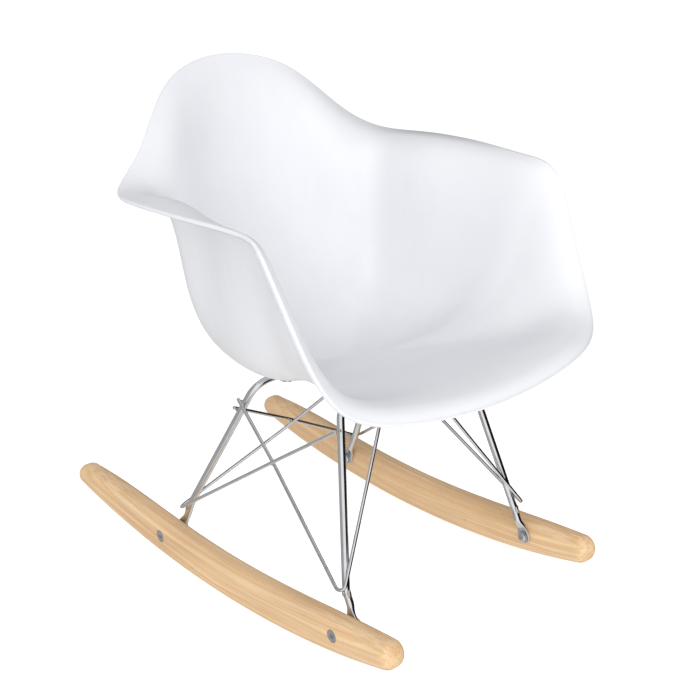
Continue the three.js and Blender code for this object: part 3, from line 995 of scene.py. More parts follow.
def bent_path(points: Sequence[Vector], radii: Sequence[float], step: float = 5.0) -> list[Vector]:
    """A path of straight runs with an arc at each inner point.

    Args:
        points: where the runs would meet.
        radii: the arc's radius at each inner point.
        step: degrees between two points of an arc.

    Returns:
        The path's points.
    """
    path = [points[0]]
    for before, corner, after, radius in zip(points, points[1:], points[2:], radii):
        into = (corner - before).normalized()
        out = (after - corner).normalized()
        turn = into.angle(out)
        axis = into.cross(out).normalized()
        start = corner - into * (radius * math.tan(turn / 2))
        centre = start + axis.cross(into) * radius
        count = max(3, math.ceil(math.degrees(turn) / step))
        for k in range(count + 1):
            path.append(centre + Matrix.Rotation(turn * k / count, 3, axis) @ (start - centre))
    path.append(points[-1])
    return path


def stepped(path: Sequence[Vector], spacing: float) -> list[Vector]:
    """A path with points added on its straight runs.

    Args:
        path: the path.
        spacing: the furthest that a point may be from the next.

    Returns:
        The longer path.
    """
    made = [path[0]]
    for start, end in zip(path, path[1:]):
        count = max(1, math.ceil((end - start).length / spacing))
        made += [start.lerp(end, k / count) for k in range(1, count + 1)]
    return made


def rod_end(tip: Vector, inner: Vector, length: float) -> list[tuple[Vector, float]]:
    """The stations of a rod's rounded end, each a point and its share of the radius.

    Args:
        tip: the rod's end.
        inner: the next point of its path.
        length: how far the end is rounded.

    Returns:
        The stations from the tip inwards.
    """
    inwards = (inner - tip).normalized()
    return [(tip + inwards * length * along, share) for along, share in ROUND_END]


def drawn_rod(
    path: Sequence[Vector], diameter: float, rounded: float = 0.0, sides: int = 24
) -> bpy.types.Object:
    """A round rod along a path of the drawing.

    Args:
        path: the rod's middle line, in millimetres of the drawing.
        diameter: in millimetres.
        rounded: how far its ends are rounded, in millimetres.
        sides: faces round it.

    Returns:
        The rod as a mesh.
    """
    stations = [(point, 1.0) for point in path]
    if rounded:
        front = rod_end(path[0], path[1], rounded)
        back = rod_end(path[-1], path[-2], rounded)
        stations = front + stations[1:-1] + back[::-1]
    deselect_all()
    bpy.ops.curve.primitive_bezier_curve_add()
    wire = bpy.context.object
    curve = wire.data
    curve.dimensions = "3D"
    curve.splines.clear()
    spline = curve.splines.new("POLY")
    spline.points.add(len(stations) - 1)
    for point, (place, share) in zip(spline.points, stations):
        point.co = (*to_chair(place), 1)
        point.radius = share
    curve.bevel_depth = diameter / 2 * MM
    curve.bevel_resolution = (sides - 4) // 2
    curve.use_fill_caps = True
    select_only(wire)
    bpy.ops.object.convert(target="MESH")
    outward(wire)
    return wire


def mirrored(point: Vector, side: Side = Side.RIGHT) -> Vector:
    """A point drawn on the left, on the side wanted."""
    return Vector((point.x * side.value, point.y, point.z))


RIPPLE, RIPPLE_PITCH = 0.1, 9.0  # the ripples along a weld: their height by its size, and how close
LUMP, LUMP_PITCH = 0.12, 1.7  # its lumps, likewise
TAPER = 0.1  # how much more than a ball it thins towards its ends


def weld_bead(place: Vector, along: Vector, length: float, radius: float, seed: float) -> bpy.types.Object:
    """A small run of weld metal.

    Args:
        place: its middle, in millimetres of the drawing.
        along: the way it runs.
        length: in millimetres.
        radius: in millimetres.
        seed: which ripple it has.

    Returns:
        The bead.
    """
    deselect_all()
    bpy.ops.mesh.primitive_uv_sphere_add(segments=20, ring_count=14, radius=1)
    bead = bpy.context.object
    for vertex in bead.data.vertices:
        x, y, z = vertex.co
        ripple = RIPPLE * math.sin(z * RIPPLE_PITCH + seed)
        lump = LUMP * noise.noise(vertex.co * LUMP_PITCH + Vector((seed, 0, 0)))
        flat = (1 - z**4) ** TAPER if abs(z) < 0.999 else 1.0
        vertex.co = Vector((x * flat, y * flat, z)) * (1 + ripple + lump)
    turn = along.to_track_quat("Z", "Y").to_matrix().to_4x4()
    size = Matrix.Diagonal((radius * MM, radius * MM, length / 2 * MM, 1))
    return settle(bead, Matrix.Translation(to_chair(place)) @ turn @ size)


@dataclass
class LegFrame:
    """One thick rod bent into two legs and the run across under the seat, with a drilled flat at each foot.

    Lengths along a foot are counted from its hole, up the leg.
    """

    end: str
    foot: tuple[float, float]
    knee: tuple[float, float]
    corner: tuple[float, float, float]
    corner_radius: float
    leg_x: float = 121.7
    rod: float = 8.0
    knee_radius: float = 20.0
    paddle_width: float = 15.0
    paddle_thickness: float = 3.0
    paddle_hole: float = 6.6
    press_reach: float = 30.0
    press_inner: float = 100.0  # nothing nearer to the chair's middle is pressed
    narrowing: tuple[float, float] = (2.0, 19.0)  # from the paddle's width to the rod's
    swelling: tuple[float, float] = (9.0, 21.0)  # from the paddle's thickness to the rod's
    squareness: float = 0.96  # how far the paddle's faces are pressed flat

    @property
    def forward(self) -> int:
        """-1 for the front frame, whose outer side faces forward, and 1 for the rear one."""
        return -1 if self.end == "front" else 1

    def leg_at(self, height: float) -> Vector:
        """A point on the axis of the left leg.

        Args:
            height: how high, in millimetres of the drawing.

        Returns:
            The point.
        """
        (foot_y, foot_z), (knee_y, knee_z) = self.foot, self.knee
        if height <= knee_z:
            share = (height - foot_z) / (knee_z - foot_z)
            return Vector((self.leg_x, foot_y + share * (knee_y - foot_y), height))
        share = (height - knee_z) / (self.corner[2] - knee_z)
        return Vector((self.leg_x, knee_y, knee_z)).lerp(Vector(self.corner), share)

    def out_of_plane(self) -> Vector:
        """Square to the legs in the side view, away from the chair's middle."""
        along = Vector((self.corner[1] - self.knee[0], self.corner[2] - self.knee[1])).normalized()
        return Vector((0, self.forward * along.y, -self.forward * along.x))

    def outboard(self) -> Vector:
        """Square to the left leg in the front view, outwards."""
        along = Vector((self.corner[0] - self.leg_x, self.corner[2] - self.knee[1])).normalized()
        return Vector((along.y, 0, -along.x))

    def build(self, finishes: Finishes) -> None:
        """Makes the frame: the bent rod, then its feet squeezed flat and drilled.

        Args:
            finishes: the chair's finishes.
        """
        along = Vector((self.knee[0] - self.foot[0], self.knee[1] - self.foot[1])).normalized()
        tip = Vector(self.foot) - along * (self.paddle_width / 2 - 0.04)
        half = [Vector((self.leg_x, *tip)), Vector((self.leg_x, *self.knee)), Vector(self.corner)]
        points = half + [mirrored(p) for p in reversed(half)]
        radii = [self.knee_radius, self.corner_radius, self.corner_radius, self.knee_radius]
        path = bent_path(points, radii)
        feet = [stepped(path[:2], 0.7), stepped(path[-2:], 0.7)]
        middle = stepped(path[1:-1], 6)
        rod = drawn_rod(feet[0] + middle[1:] + feet[1][1:], self.rod, sides=32)
        for vertex in rod.data.vertices:
            vertex.co = self.squeezed(vertex.co, along)
        clear = Vector((20 * MM, 0, 0))
        for side in Side:
            hole = to_chair((side.value * self.leg_x, *self.foot))
            cut_away(rod, bar(self.paddle_hole * MM, hole - clear, hole + clear))
        shade(rod, 50)
        hand_in(rod, f"{self.end}_legs", finishes.chrome, [f"{self.end}_leg_frame"])

    def squeezed(self, co: Vector, along: Vector) -> Vector:
        """Where a point of the round rod goes as the foot is pressed flat.

        Args:
            co: the point, in metres.
            along: the foot's direction in the side view.

        Returns:
            The point after pressing.
        """
        foot = to_chair((0, *self.foot))
        arm = Vector((co.y - foot.y, co.z - foot.z)) / MM
        sideways = Vector((-along.y, along.x))
        far = arm.dot(along)
        if far > self.press_reach or abs(co.x) < self.press_inner * MM:
            return co
        full = self.paddle_width / 2
        if far < 0:
            width = math.sqrt(max(full**2 - far**2, 0.01))
        else:
            width = full + (self.rod / 2 - full) * smooth(far, *self.narrowing)
        swell = smooth(far, *self.swelling)
        thick = self.paddle_thickness / 2 + (self.rod - self.paddle_thickness) / 2 * swell
        sign = 1 if co.x > 0 else -1
        depth = (co.x * sign / MM - self.leg_x) * 2 / self.rod
        across = arm.dot(sideways) * 2 / self.rod
        boxy = depth / max(0.25, math.sqrt(max(1 - across * across, 0.0)))
        depth += (1 - swell) * (max(-1.0, min(1.0, boxy)) * self.squareness - depth)
        x = self.leg_x + self.rod / 2 - thick + depth * thick
        place = far * along + across * width * sideways
        return Vector((sign * x * MM, foot.y + place.x * MM, foot.z + place.y * MM))


@dataclass
class Braces:
    """The four thin wires, each bent round the foot of a leg, with their welds."""

    front: LegFrame
    rear: LegFrame
    wire: float = 3.8
    bend: float = 6.0
    bow: float = 2.4
    cross_at: float = 0.68
    offset: float = 6.2  # from a leg's axis to a wire welded on it
    foot_height: float = 63.0
    front_side_end: float = 205.0
    front_cross_end: float = 22.0
    rear_side_end: float = 218.0
    rear_cross_end: float = 193.0
    tail: float = 7.0
    bow_radius: float = 400.0
    foot_weld: tuple[float, float] = (9.0, 2.3)  # length and radius, as in the three below
    turn_weld: tuple[float, float] = (7.0, 2.0)
    end_weld: tuple[float, float] = (8.5, 2.2)
    crossing_weld: tuple[float, float] = (5.0, 1.7)
    weld_depth: float = 0.42  # from a wire's middle line towards the rod's

    def foot_corner(self, legs: LegFrame) -> Vector:
        """Where a wire would turn round the outer corner of a foot if its bend weren't rounded.

        Args:
            legs: the frame whose left foot it is.

        Returns:
            The point.
        """
        corner = legs.leg_at(self.foot_height)
        rise = legs.knee[1] - legs.foot[1]
        steepness = math.hypot(legs.knee[0] - legs.foot[0], rise) / rise
        corner.x += self.offset + self.bend
        corner.y += legs.forward * (self.offset * steepness + 0.5)
        return corner

    def side_arm(self, start: Vector, legs: LegFrame, height: float, bow: float) -> tuple[Vector, Vector]:
        """An arm along the side, to the outside of a leg that it is welded to.

        Args:
            start: where it starts.
            legs: the frame whose left leg it is welded to.
            height: how high its weld is.
            bow: 1 if it bows outwards, and -1 if inwards.

        Returns:
            Its bowed middle and its end.
        """
        end = legs.leg_at(height) + legs.outboard() * self.offset
        middle = start.lerp(end, self.cross_at) + legs.outboard() * (bow * self.bow)
        return middle, end

    def run_on(self, start: Vector, end: Vector) -> Vector:
        """The end of a wire that runs on a little past its weld."""
        return end + (end - start).normalized() * self.tail

    def front_points(self) -> list[Vector]:
        """The left front wire.

        Returns:
            Its points: on the cross run, at the foot, along the side, past the rear leg.
        """
        corner = self.foot_corner(self.front)
        middle, end = self.side_arm(corner, self.rear, self.front_side_end, -1)
        meet = Vector((self.front_cross_end, self.front.corner[1], self.front.corner[2] - self.offset))
        return [meet, corner, middle, self.run_on(middle, end)]

    def rear_points(self, side: Side) -> list[Vector]:
        """A rear wire as drawn on the left.

        Args:
            side: the side it will be on, which says whether it passes behind the other rear wire.

        Returns:
            Its points: on the front leg, along the side, at the foot, at the crossing, past the other leg.
        """
        corner = self.foot_corner(self.rear)
        middle, end = self.side_arm(corner, self.front, self.rear_side_end, 1)
        out = self.rear.out_of_plane()
        across = mirrored(self.rear.leg_at(self.rear_cross_end)) + out * self.offset
        share = corner.x / (corner.x - across.x)
        crossing = corner.lerp(across, share) + out * (side.value * self.bow)
        return [end, middle, corner, crossing, self.run_on(crossing, across)]

    def build(self, finishes: Finishes) -> None:
        """Makes the wires and the welds of each.

        Args:
            finishes: the chair's finishes.
        """
        for side in Side:
            front = [mirrored(p, side) for p in self.front_points()]
            self.make_wire("front", side, front, [self.bend, self.bow_radius], finishes)
            rear = [mirrored(p, side) for p in self.rear_points(side)]
            self.make_wire("rear", side, rear, [self.bow_radius, self.bend, self.bow_radius], finishes)
            self.make_welds(side, front, rear, finishes)

    def make_wire(
        self, end: str, side: Side, points: list[Vector], radii: list[float], finishes: Finishes
    ) -> None:
        """Makes one wire.

        Args:
            end: which frame's feet it turns round, front or rear.
            side: which side.
            points: where its straight runs would meet.
            radii: the bend's radius at each inner point.
            finishes: the chair's finishes.
        """
        path = stepped(bent_path(points, radii, step=8), 12)
        wire = drawn_rod(path, self.wire, rounded=0.8, sides=20)
        shade(wire, 50)
        name = f"{end}_{side.word}_brace"
        hand_in(wire, f"{name}_wire", finishes.chrome, [name])

    def make_welds(self, side: Side, front: list[Vector], rear: list[Vector], finishes: Finishes) -> None:
        """Makes the welds that hold one side's wires.

        Args:
            side: which side.
            front: the front wire's points.
            rear: the rear wire's points.
            finishes: the chair's finishes.
        """
        beads = []
        seed = 1.0 if side is Side.LEFT else 6.0

        def weld(at: Vector, axis: Vector, along: Vector, size: tuple[float, float]) -> None:
            """Adds a bead between a wire and a rod.

            Args:
                at: the wire's middle line.
                axis: the rod's middle line.
                along: the way the bead runs.
                size: its length and radius.
            """
            nonlocal seed
            seed += 1.3
            beads.append(weld_bead(at.lerp(axis, self.weld_depth), along, *size, seed))

        for legs, points in ((self.front, front), (self.rear, rear)):
            axis = mirrored(legs.leg_at(self.foot_height + 1), side)
            up = (mirrored(legs.leg_at(self.foot_height + 20), side) - axis).normalized()
            before = axis + Vector((0, legs.forward * self.offset, 0))
            beside = axis + Vector((side.value * self.offset, 0, 1))
            weld(before, axis, up, self.foot_weld)
            weld(beside, axis, up, self.turn_weld)
        ends = (
            (front[3], front[2], self.rear, self.front_side_end),
            (rear[0], rear[1], self.front, self.rear_side_end),
        )
        for tip, before, legs, height in ends:
            axis = mirrored(legs.leg_at(height), side)
            at = axis + mirrored(legs.outboard() * self.offset, side)
            weld(at, axis, tip - before, self.end_weld)
        opposite = mirrored(self.rear.leg_at(self.rear_cross_end), Side(-side.value))
        at = opposite + self.rear.out_of_plane() * self.offset
        weld(at, opposite, rear[4] - rear[3], self.end_weld)
        run = Vector((front[0].x, self.front.corner[1], self.front.corner[2]))
        weld(front[0], run, Vector((1, 0, 0)), self.foot_weld)
        arms = self.arms_crossing(front, rear)
        beads.append(weld_bead(arms, Vector((0, 1, 1)), *self.crossing_weld, seed + 2))
        if side is Side.LEFT:
            middle = rear[3] - self.rear.out_of_plane() * self.bow
            beads.append(weld_bead(middle, Vector((0, 0.6, 1)), *self.crossing_weld, 4.2))
        welds = joined(beads)
        shade(welds, 80)
        hand_in(welds, f"{side.word}_brace_welds", finishes.weld)

    def arms_crossing(self, front: list[Vector], rear: list[Vector]) -> Vector:
        """Where the two arms along one side cross.

        Args:
            front: the front wire's points.
            rear: the rear wire's points.

        Returns:
            The point midway between them.
        """
        shares = [k / 200 for k in range(60, 200)]
        one, other = min(
            ((front[1].lerp(front[3], a), rear[2].lerp(rear[0], b)) for a in shares for b in shares),
            key=lambda pair: math.hypot(pair[0].y - pair[1].y, pair[0].z - pair[1].z),
        )
        return (one + other) / 2


# ---------------------------------------------------------------- screws, nuts, washers, pads


class Turn(Enum):
    """Which way the head of a fixing faces."""

    UP = (0, 0, 1)
    DOWN = (0, 0, -1)
    LEFT = (1, 0, 0)
    RIGHT = (-1, 0, 0)

    def place(self, seat: Vector) -> Matrix:
        """The transform of a fixing drawn head up at the origin, onto its seat."""
        return Matrix.Translation(seat) @ Vector(self.value).to_track_quat("Z", "Y").to_matrix().to_4x4()


@dataclass(frozen=True)
class DomedScrew:
    """A screw with a domed head and a hexagon socket, head up with its seat at the origin."""

    shank: float
    length: float
    head: float
    dome: float
    key: float
    key_depth: float
    skirt: ClassVar[float] = 0.6  # the straight part of the head
    point: ClassVar[tuple[float, float]] = (0.6, 0.78)  # the chamfer's length, and its end by the shank
    rings: ClassVar[int] = 7
    key_turn: ClassVar[float] = 4.0  # degrees, so that the socket's corners miss the dome's edges

    def build(self) -> bpy.types.Object:
        """Turns the screw: a disc drawn up into a dome, the shank drawn down, the socket cut.

        Returns:
            The screw.
        """
        deselect_all()
        bpy.ops.mesh.primitive_cylinder_add(
            vertices=48,
            radius=self.head / 2 * MM,
            depth=self.skirt * MM,
            location=(0, 0, self.skirt / 2 * MM),
        )
        screw = settle(bpy.context.object)
        with editing(screw):
            pick_faces(screw, lambda face: face.normal.z > SQUARE_ON)
            done_radius, done_height = self.head / 2, self.skirt
            for k in range(1, self.rings):
                angle = k / self.rings * math.pi / 2
                radius = self.head / 2 * math.cos(angle)
                height = self.skirt + (self.dome - self.skirt) * math.sin(angle)
                bpy.ops.mesh.inset(thickness=(done_radius - radius) * MM)
                bpy.ops.transform.translate(value=(0, 0, (height - done_height) * MM))
                done_radius, done_height = radius, height
            pick_faces(screw, lambda face: face.normal.z < -SQUARE_ON)
            bpy.ops.mesh.inset(thickness=(self.head - self.shank) / 2 * MM)
            chamfer, end = self.point
            for step in (self.length - chamfer, chamfer):
                bpy.ops.mesh.extrude_region_move(TRANSFORM_OT_translate={"value": (0, 0, -step * MM)})
            bpy.ops.transform.resize(value=(end, end, 1))
        top = Vector((0, 0, self.dome * MM))
        tool = bar(self.key * MM, top - Vector((0, 0, self.key_depth * MM)), top + Vector((0, 0, MM)), 6)
        cut_away(screw, settle(tool, Matrix.Rotation(math.radians(self.key_turn), 4, "Z")))
        shade(screw, 32)
        return screw


@dataclass(frozen=True)
class Ring:
    """A washer or pad: a disc with a hole, lying on the origin."""

    outer: float
    hole: float
    thickness: float
    soft_edge: float = 0.2

    def build(self) -> bpy.types.Object:
        """Punches the ring out of a disc and breaks its edges.

        Returns:
            The ring.
        """
        deselect_all()
        bpy.ops.mesh.primitive_cylinder_add(
            vertices=56,
            radius=self.outer / 2 * MM,
            depth=self.thickness * MM,
            location=(0, 0, self.thickness / 2 * MM),
        )
        ring = settle(bpy.context.object)
        with editing(ring):
            pick_faces(ring, lambda face: abs(face.normal.z) > SQUARE_ON)
            bpy.ops.mesh.inset(thickness=(self.outer - self.hole) / 2 * MM)
            bpy.ops.mesh.bridge_edge_loops()
            pick_edges(ring, lambda edge: edge.is_manifold and edge.calc_face_angle(0) > SHARP)
            bpy.ops.mesh.bevel(offset=self.soft_edge * MM, segments=3, affect="EDGES")
        outward(ring)
        shade(ring, 50)
        return ring


@dataclass(frozen=True)
class SleeveNut:
    """A flanged sleeve nut, its face up at the origin and its barrel below."""

    barrel: float = 7.4
    bore: float = 6.2
    length: float = 20.0
    blind: float = 17.0
    head: float = 13.0
    head_thickness: float = 2.1
    key: float = 5.0
    key_depth: float = 1.6
    edge: float = 0.5

    def build(self) -> bpy.types.Object:
        """Turns the nut, bores it from below and cuts its socket.

        Returns:
            The nut.
        """
        deselect_all()
        bpy.ops.mesh.primitive_cylinder_add(
            vertices=56,
            radius=self.head / 2 * MM,
            depth=self.head_thickness * MM,
            location=(0, 0, -self.head_thickness / 2 * MM),
        )
        nut = settle(bpy.context.object)
        with editing(nut):
            pick_edges(nut, lambda edge: all(v.co.z > -1e-6 for v in edge.verts))
            bpy.ops.mesh.bevel(offset=self.edge * MM, segments=4, affect="EDGES")
            pick_faces(nut, lambda face: face.normal.z < -SQUARE_ON)
            bpy.ops.mesh.inset(thickness=(self.head - self.barrel) / 2 * MM)
            bpy.ops.mesh.extrude_region_move(
                TRANSFORM_OT_translate={"value": (0, 0, -(self.length - self.head_thickness) * MM)}
            )
            bpy.ops.mesh.inset(thickness=(self.barrel - self.bore) / 2 * MM)
            bpy.ops.mesh.extrude_region_move(TRANSFORM_OT_translate={"value": (0, 0, self.blind * MM)})
        tool = bar(self.key * MM, Vector((0, 0, -self.key_depth * MM)), Vector((0, 0, MM)), 6)
        cut_away(nut, tool)
        shade(nut, 32)
        return nut


@dataclass
class FootFixing:
    """What holds each foot on its runner: screw, washer and sleeve nut."""

    screw: DomedScrew = DomedScrew(5.6, 25.0, 11.0, 3.2, 3.5, 1.8)
    washer: Ring = Ring(13.0, 6.4, 1.2)
    nut: SleeveNut = SleeveNut()

    def build(self, finishes: Finishes) -> None:
        """Makes one of each and sets copies at the four feet.

        Args:
            finishes: the chair's finishes.
        """
        patterns = {
            "rocker_screw": self.screw.build(),
            "screw_washer": self.washer.build(),
            "sleeve_nut": self.nut.build(),
        }
        for side in Side:
            outwards, inwards = (Turn.LEFT, Turn.RIGHT) if side is Side.LEFT else (Turn.RIGHT, Turn.LEFT)
            for end in ("front", "rear"):
                for kind, pattern in patterns.items():
                    node = f"{end}_{side.word}_{kind}"
                    low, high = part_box(node)
                    seat = (low + high) / 2
                    seat.x = high.x if side is Side.LEFT else low.x
                    if kind == "rocker_screw":
                        seat.x -= side.value * self.screw.length * MM
                    turn = outwards if kind == "sleeve_nut" else inwards
                    piece = settle(twin(pattern), turn.place(seat))
                    hand_in(piece, f"{end}_{side.word}_foot_{kind}", finishes.zinc, [node])
        for pattern in patterns.values():
            bpy.data.objects.remove(pattern)


@dataclass
class SeatFixing:
    """What holds the shell on the frames at each corner: tab, pad, washer, screw and insert."""

    screw: DomedScrew = DomedScrew(4.4, 13.0, 9.0, 2.6, 3.0, 1.5)
    washer: Ring = Ring(11.0, 5.4, 1.0)
    pad: Ring = Ring(18.0, 6.0, 3.0, 0.7)
    tab_edge: float = 0.3
    tab_weld: tuple[float, float] = (8.0, 1.6)  # length and radius
    tab_weld_place: float = 7.0  # from the tab's middle

    @staticmethod
    def places() -> list[str]:
        """The seat's four corners."""
        return [f"{end}_{side.word}" for end in ("front", "rear") for side in Side]

    def build(self, finishes: Finishes) -> None:
        """Makes one of each and sets copies at the four corners.

        Args:
            finishes: the chair's finishes.
        """
        screw, washer, pad = self.screw.build(), self.washer.build(), self.pad.build()
        for place in self.places():
            low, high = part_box(f"{place}_seat_screw")
            seat = (low + high) / 2
            seat.z = high.z - self.screw.length * MM
            bolt = settle(twin(screw), Turn.DOWN.place(seat))
            hand_in(bolt, f"{place}_seat_bolt", finishes.zinc, [f"{place}_seat_screw"])
            for pattern, node, name, slot, material in (
                (washer, f"{place}_seat_washer", f"{place}_bolt_washer", Slot.ZINC, finishes.zinc),
                (pad, f"{place}_rubber_pad", f"{place}_seat_pad", Slot.PAD, finishes.rubber),
            ):
                low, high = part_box(node)
                foot = Vector(((low.x + high.x) / 2, (low.y + high.y) / 2, low.z))
                piece = settle(twin(pattern), Turn.UP.place(foot))
                hand_in(piece, name, material, [node])
            self.make_tab(place, finishes)
            self.dress_insert(place, finishes)
        for pattern in (screw, washer, pad):
            bpy.data.objects.remove(pattern)

    def make_tab(self, place: str, finishes: Finishes) -> None:
        """Breaks the edges of a copy of the tab, and welds it along its rod.

        Args:
            place: the corner of the seat, such as front_left.
            finishes: the chair's finishes.
        """
        node = f"{place}_mounting_tab"
        tab = twin(frame["nodes"][node])
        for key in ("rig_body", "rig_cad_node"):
            del tab[key]
        tab.parent = None
        with editing(tab):
            bpy.ops.mesh.select_all(action="SELECT")
            bpy.ops.mesh.remove_doubles(threshold=1e-6)
            bpy.ops.mesh.dissolve_limited(angle_limit=math.radians(3))
            pick_edges(tab, lambda edge: edge.is_manifold and edge.calc_face_angle(0) > SHARP)
            bpy.ops.mesh.bevel(offset=self.tab_edge * MM, segments=3, affect="EDGES")
        shade(tab, 40)
        hand_in(tab, f"{place}_tab", finishes.chrome, [node])
        low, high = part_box(node)
        near = high.y if place.startswith("rear") else low.y
        middle = Vector(((low.x + high.x) / 2, near - drawing_shift(), low.z)) / MM
        beads = []
        for k, side in enumerate((-1, 1)):
            at = middle + Vector((side * self.tab_weld_place, 0, 0))
            beads.append(weld_bead(at, Vector((1, 0, 0)), *self.tab_weld, 3.0 + k))
        welds = joined(beads)
        shade(welds, 80)
        hand_in(welds, f"{place}_tab_welds", finishes.weld)

    def dress_insert(self, place: str, finishes: Finishes) -> None:
        """Gives the frame's own insert its brass.

        Args:
            place: the corner of the seat.
            finishes: the chair's finishes.
        """
        insert = frame["nodes"][f"{place}_threaded_insert"]
        insert.data.materials.clear()
        insert.data.materials.append(finishes.brass)


# ---------------------------------------------------------------- the studio


@dataclass(frozen=True)
class Viewpoint:
    """Where the camera stands and how it looks."""

    place: tuple[float, float, float] = (-0.91959, -1.15077, 0.80153)
    azimuth: float = -42.1797
    elevation: float = 18.4583
    roll: float = -2.2534
    lens: float = 74.205
    shift: tuple[float, float] = (-0.069586, -0.092)

    def build(self) -> None:
        """Adds the camera."""
        turn, rise, tilt = (math.radians(v) for v in (self.azimuth, self.elevation, self.roll))
        back = Vector((math.sin(turn) * math.cos(rise), -math.cos(turn) * math.cos(rise), math.sin(rise)))
        level = (-back).cross(Vector((0, 0, 1))).normalized()
        upright = level.cross(-back)
        right = level * math.cos(tilt) + upright * math.sin(tilt)
        up = upright * math.cos(tilt) - level * math.sin(tilt)
        deselect_all()
        bpy.ops.object.camera_add(location=self.place)
        camera = bpy.context.object
        facing = Matrix((right, up, back)).transposed().to_4x4()
        camera.matrix_world = Matrix.Translation(self.place) @ facing
        camera.data.lens = self.lens
        camera.data.sensor_width = 36
        camera.data.shift_x, camera.data.shift_y = self.shift
        bpy.context.scene.camera = camera


@dataclass(frozen=True)
class SoftBox:
    """A square lamp that looks at the chair and isn't seen in the metal."""

    name: str
    place: tuple[float, float, float]
    size: float
    power: float
    aim: tuple[float, float, float] = (0.0, 0.0, 0.3)

    def build(self) -> None:
        """Adds the lamp."""
        deselect_all()
        bpy.ops.object.light_add(type="AREA", location=self.place)
        lamp = bpy.context.object
        lamp.name = self.name
        way = Vector(self.aim) - Vector(self.place)
        lamp.rotation_euler = way.to_track_quat("-Z", "Y").to_euler()
        lamp.data.size = self.size
        lamp.data.energy = self.power
        lamp.visible_glossy = False


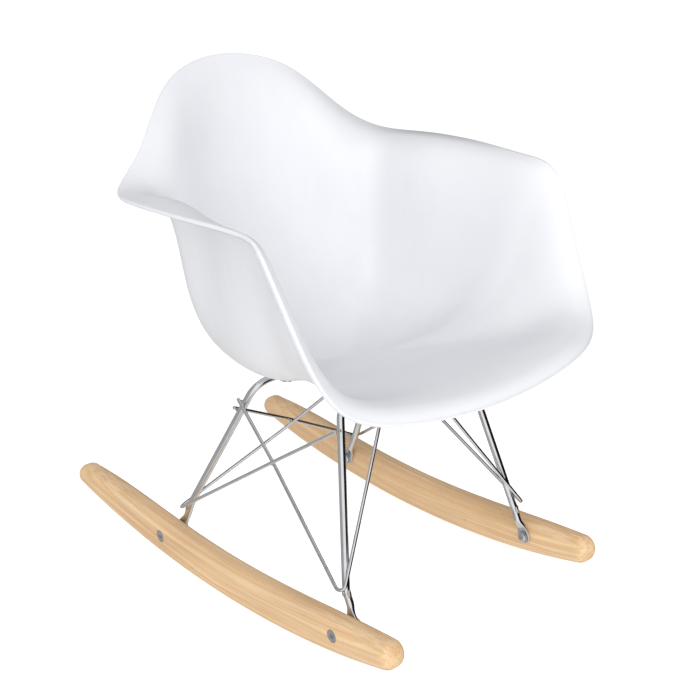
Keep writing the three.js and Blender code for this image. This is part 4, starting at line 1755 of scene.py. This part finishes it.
@dataclass(frozen=True)
class Studio:
    """A plain pale floor in a white room, with a soft lamp and dark parts that only the metal shows."""

    floor_tone: Colour = (0.72, 0.72, 0.72, 1.0)
    floor_shadow: Colour = (0.7128, 0.7128, 0.7128, 1.0)
    floor_glow: tuple[float, float] = (0.3, 0.7)  # as it lights the chair, and as the camera sees it
    lamp: SoftBox = SoftBox("front_soft_box", (-1.45, -2.6, 1.6), 2.2, 42)

    def build(self) -> None:
        """Adds the floor, the room and the lamp."""
        deselect_all()
        bpy.ops.mesh.primitive_plane_add(size=60, location=(0, 0, -0.0002))
        floor = bpy.context.object
        floor.name = "studio_floor"
        bench = Bench("studio floor")
        haze = bench.spread(bench.speckle(bench.place((1, 1, 1)), 3, 3), 0.0, 1.0)
        tone = bench.blend(haze, self.floor_tone, self.floor_shadow)
        bench.feed(bench.shader.inputs["Base Color"], tone)
        bench.shader.inputs["Roughness"].default_value = 0.9
        bench.shader.inputs["Specular IOR Level"].default_value = 0.1
        bench.shader.inputs["Emission Color"].default_value = (1, 1, 1, 1)
        seen = bench.node("LightPath").outputs["Is Camera Ray"]
        glow = bench.spread(seen, *self.floor_glow, 0.0, 1.0)
        bench.feed(bench.shader.inputs["Emission Strength"], glow)
        floor.data.materials.append(bench.material)
        floor.visible_glossy = False
        self.build_room()
        self.lamp.build()
        bpy.context.scene.view_settings.view_transform = "Standard"

    def build_room(self) -> None:
        """Lights the room: white to the camera, dimmer overhead, with dark parts where metal mirrors it."""
        world = bpy.data.worlds.new("studio room")
        bpy.context.scene.world = world
        world.use_nodes = True
        tree = world.node_tree
        tree.nodes.clear()

        def node(kind: str, **settings: object) -> bpy.types.Node:
            """Adds a node.

            Args:
                kind: its type, without the ShaderNode in front.
                settings: the node's own properties.

            Returns:
                The node.
            """
            made = tree.nodes.new("ShaderNode" + kind)
            for key, value in settings.items():
                setattr(made, key, value)
            return made

        def facing(direction: tuple[float, float, float], low: float, high: float) -> bpy.types.NodeSocket:
            """A round patch of the room.

            Args:
                direction: the way to its middle.
                low: the cosine from that way at which it starts.
                high: the cosine at which it is full.

            Returns:
                The socket of a share, 1 in the patch and 0 outside.
            """
            dot = node("VectorMath", operation="DOT_PRODUCT")
            tree.links.new(place.outputs["Generated"], dot.inputs[0])
            dot.inputs[1].default_value = Vector(direction).normalized()
            span = node("MapRange", interpolation_type="SMOOTHSTEP")
            tree.links.new(dot.outputs["Value"], span.inputs["Value"])
            span.inputs["From Min"].default_value = low
            span.inputs["From Max"].default_value = high
            return span.outputs["Result"]

        def mixed(share: bpy.types.NodeSocket, first: object, second: object) -> bpy.types.NodeSocket:
            """Mixes two colours.

            Args:
                share: how much of the second there is.
                first: a colour or a socket.
                second: a colour or a socket.

            Returns:
                The socket of the mixed colour.
            """
            mix = node("Mix", data_type="RGBA")
            tree.links.new(share, mix.inputs["Factor"])
            for socket, value in ((mix.inputs[6], first), (mix.inputs[7], second)):
                if isinstance(value, bpy.types.NodeSocket):
                    tree.links.new(value, socket)
                else:
                    socket.default_value = value
            return mix.outputs[2]

        place = node("TexCoord")
        rays = node("LightPath")
        lit = mixed(facing((0, 0, 1), 0.0, 0.9), (0.76, 0.77, 0.8, 1), (0.46, 0.46, 0.47, 1))
        lit = mixed(facing((-0.8, -0.5, 0.3), 0.2, 1.0), lit, (1.08, 1.08, 1.08, 1))
        seen = mixed(facing((0.956, -0.27, 0.0), 0.2, 0.34), (1.0, 1.0, 1.0, 1), (0.012, 0.012, 0.012, 1))
        seen = mixed(facing((-0.6, 0.8, 0.0), 0.1, 0.6), seen, (0.42, 0.42, 0.42, 1))
        seen = mixed(facing((0, 0, 1), 0.74, 0.86), seen, (0.06, 0.06, 0.06, 1))
        seen = mixed(facing((0, 0, -1), 0.6, 0.8), seen, (0.75, 0.72, 0.68, 1))
        tone = mixed(rays.outputs["Is Glossy Ray"], lit, seen)
        tone = mixed(rays.outputs["Is Camera Ray"], tone, (1, 1, 1, 1))
        sky = node("Background")
        tree.links.new(tone, sky.inputs["Color"])
        output = node("OutputWorld")
        tree.links.new(sky.outputs[0], output.inputs["Surface"])


# ---------------------------------------------------------------- the whole chair


@dataclass
class RockingChair:
    """The whole chair, built from its sub-assemblies."""

    front_legs: LegFrame = field(
        default_factory=lambda: LegFrame("front", (-198, 34), (-185, 66), (85, -147, 247), 24)
    )
    rear_legs: LegFrame = field(
        default_factory=lambda: LegFrame("rear", (98, 34), (78, 71), (89, -15, 230), 22)
    )

    def build(self) -> None:
        """Makes each sub-assembly in order."""
        finishes = Finishes()
        BucketShell().build(finishes)
        for side in Side:
            Runner(side=side).build(finishes)
        for legs in (self.front_legs, self.rear_legs):
            legs.build(finishes)
        Braces(self.front_legs, self.rear_legs).build(finishes)
        FootFixing().build(finishes)
        SeatFixing().build(finishes)


def main() -> None:
    """Builds the chair and the studio, and reports each piece."""
    logging.basicConfig(level=logging.INFO, format="%(message)s")
    RockingChair().build()
    Studio().build()
    Viewpoint().build()


if __name__ == "__main__":
    main()
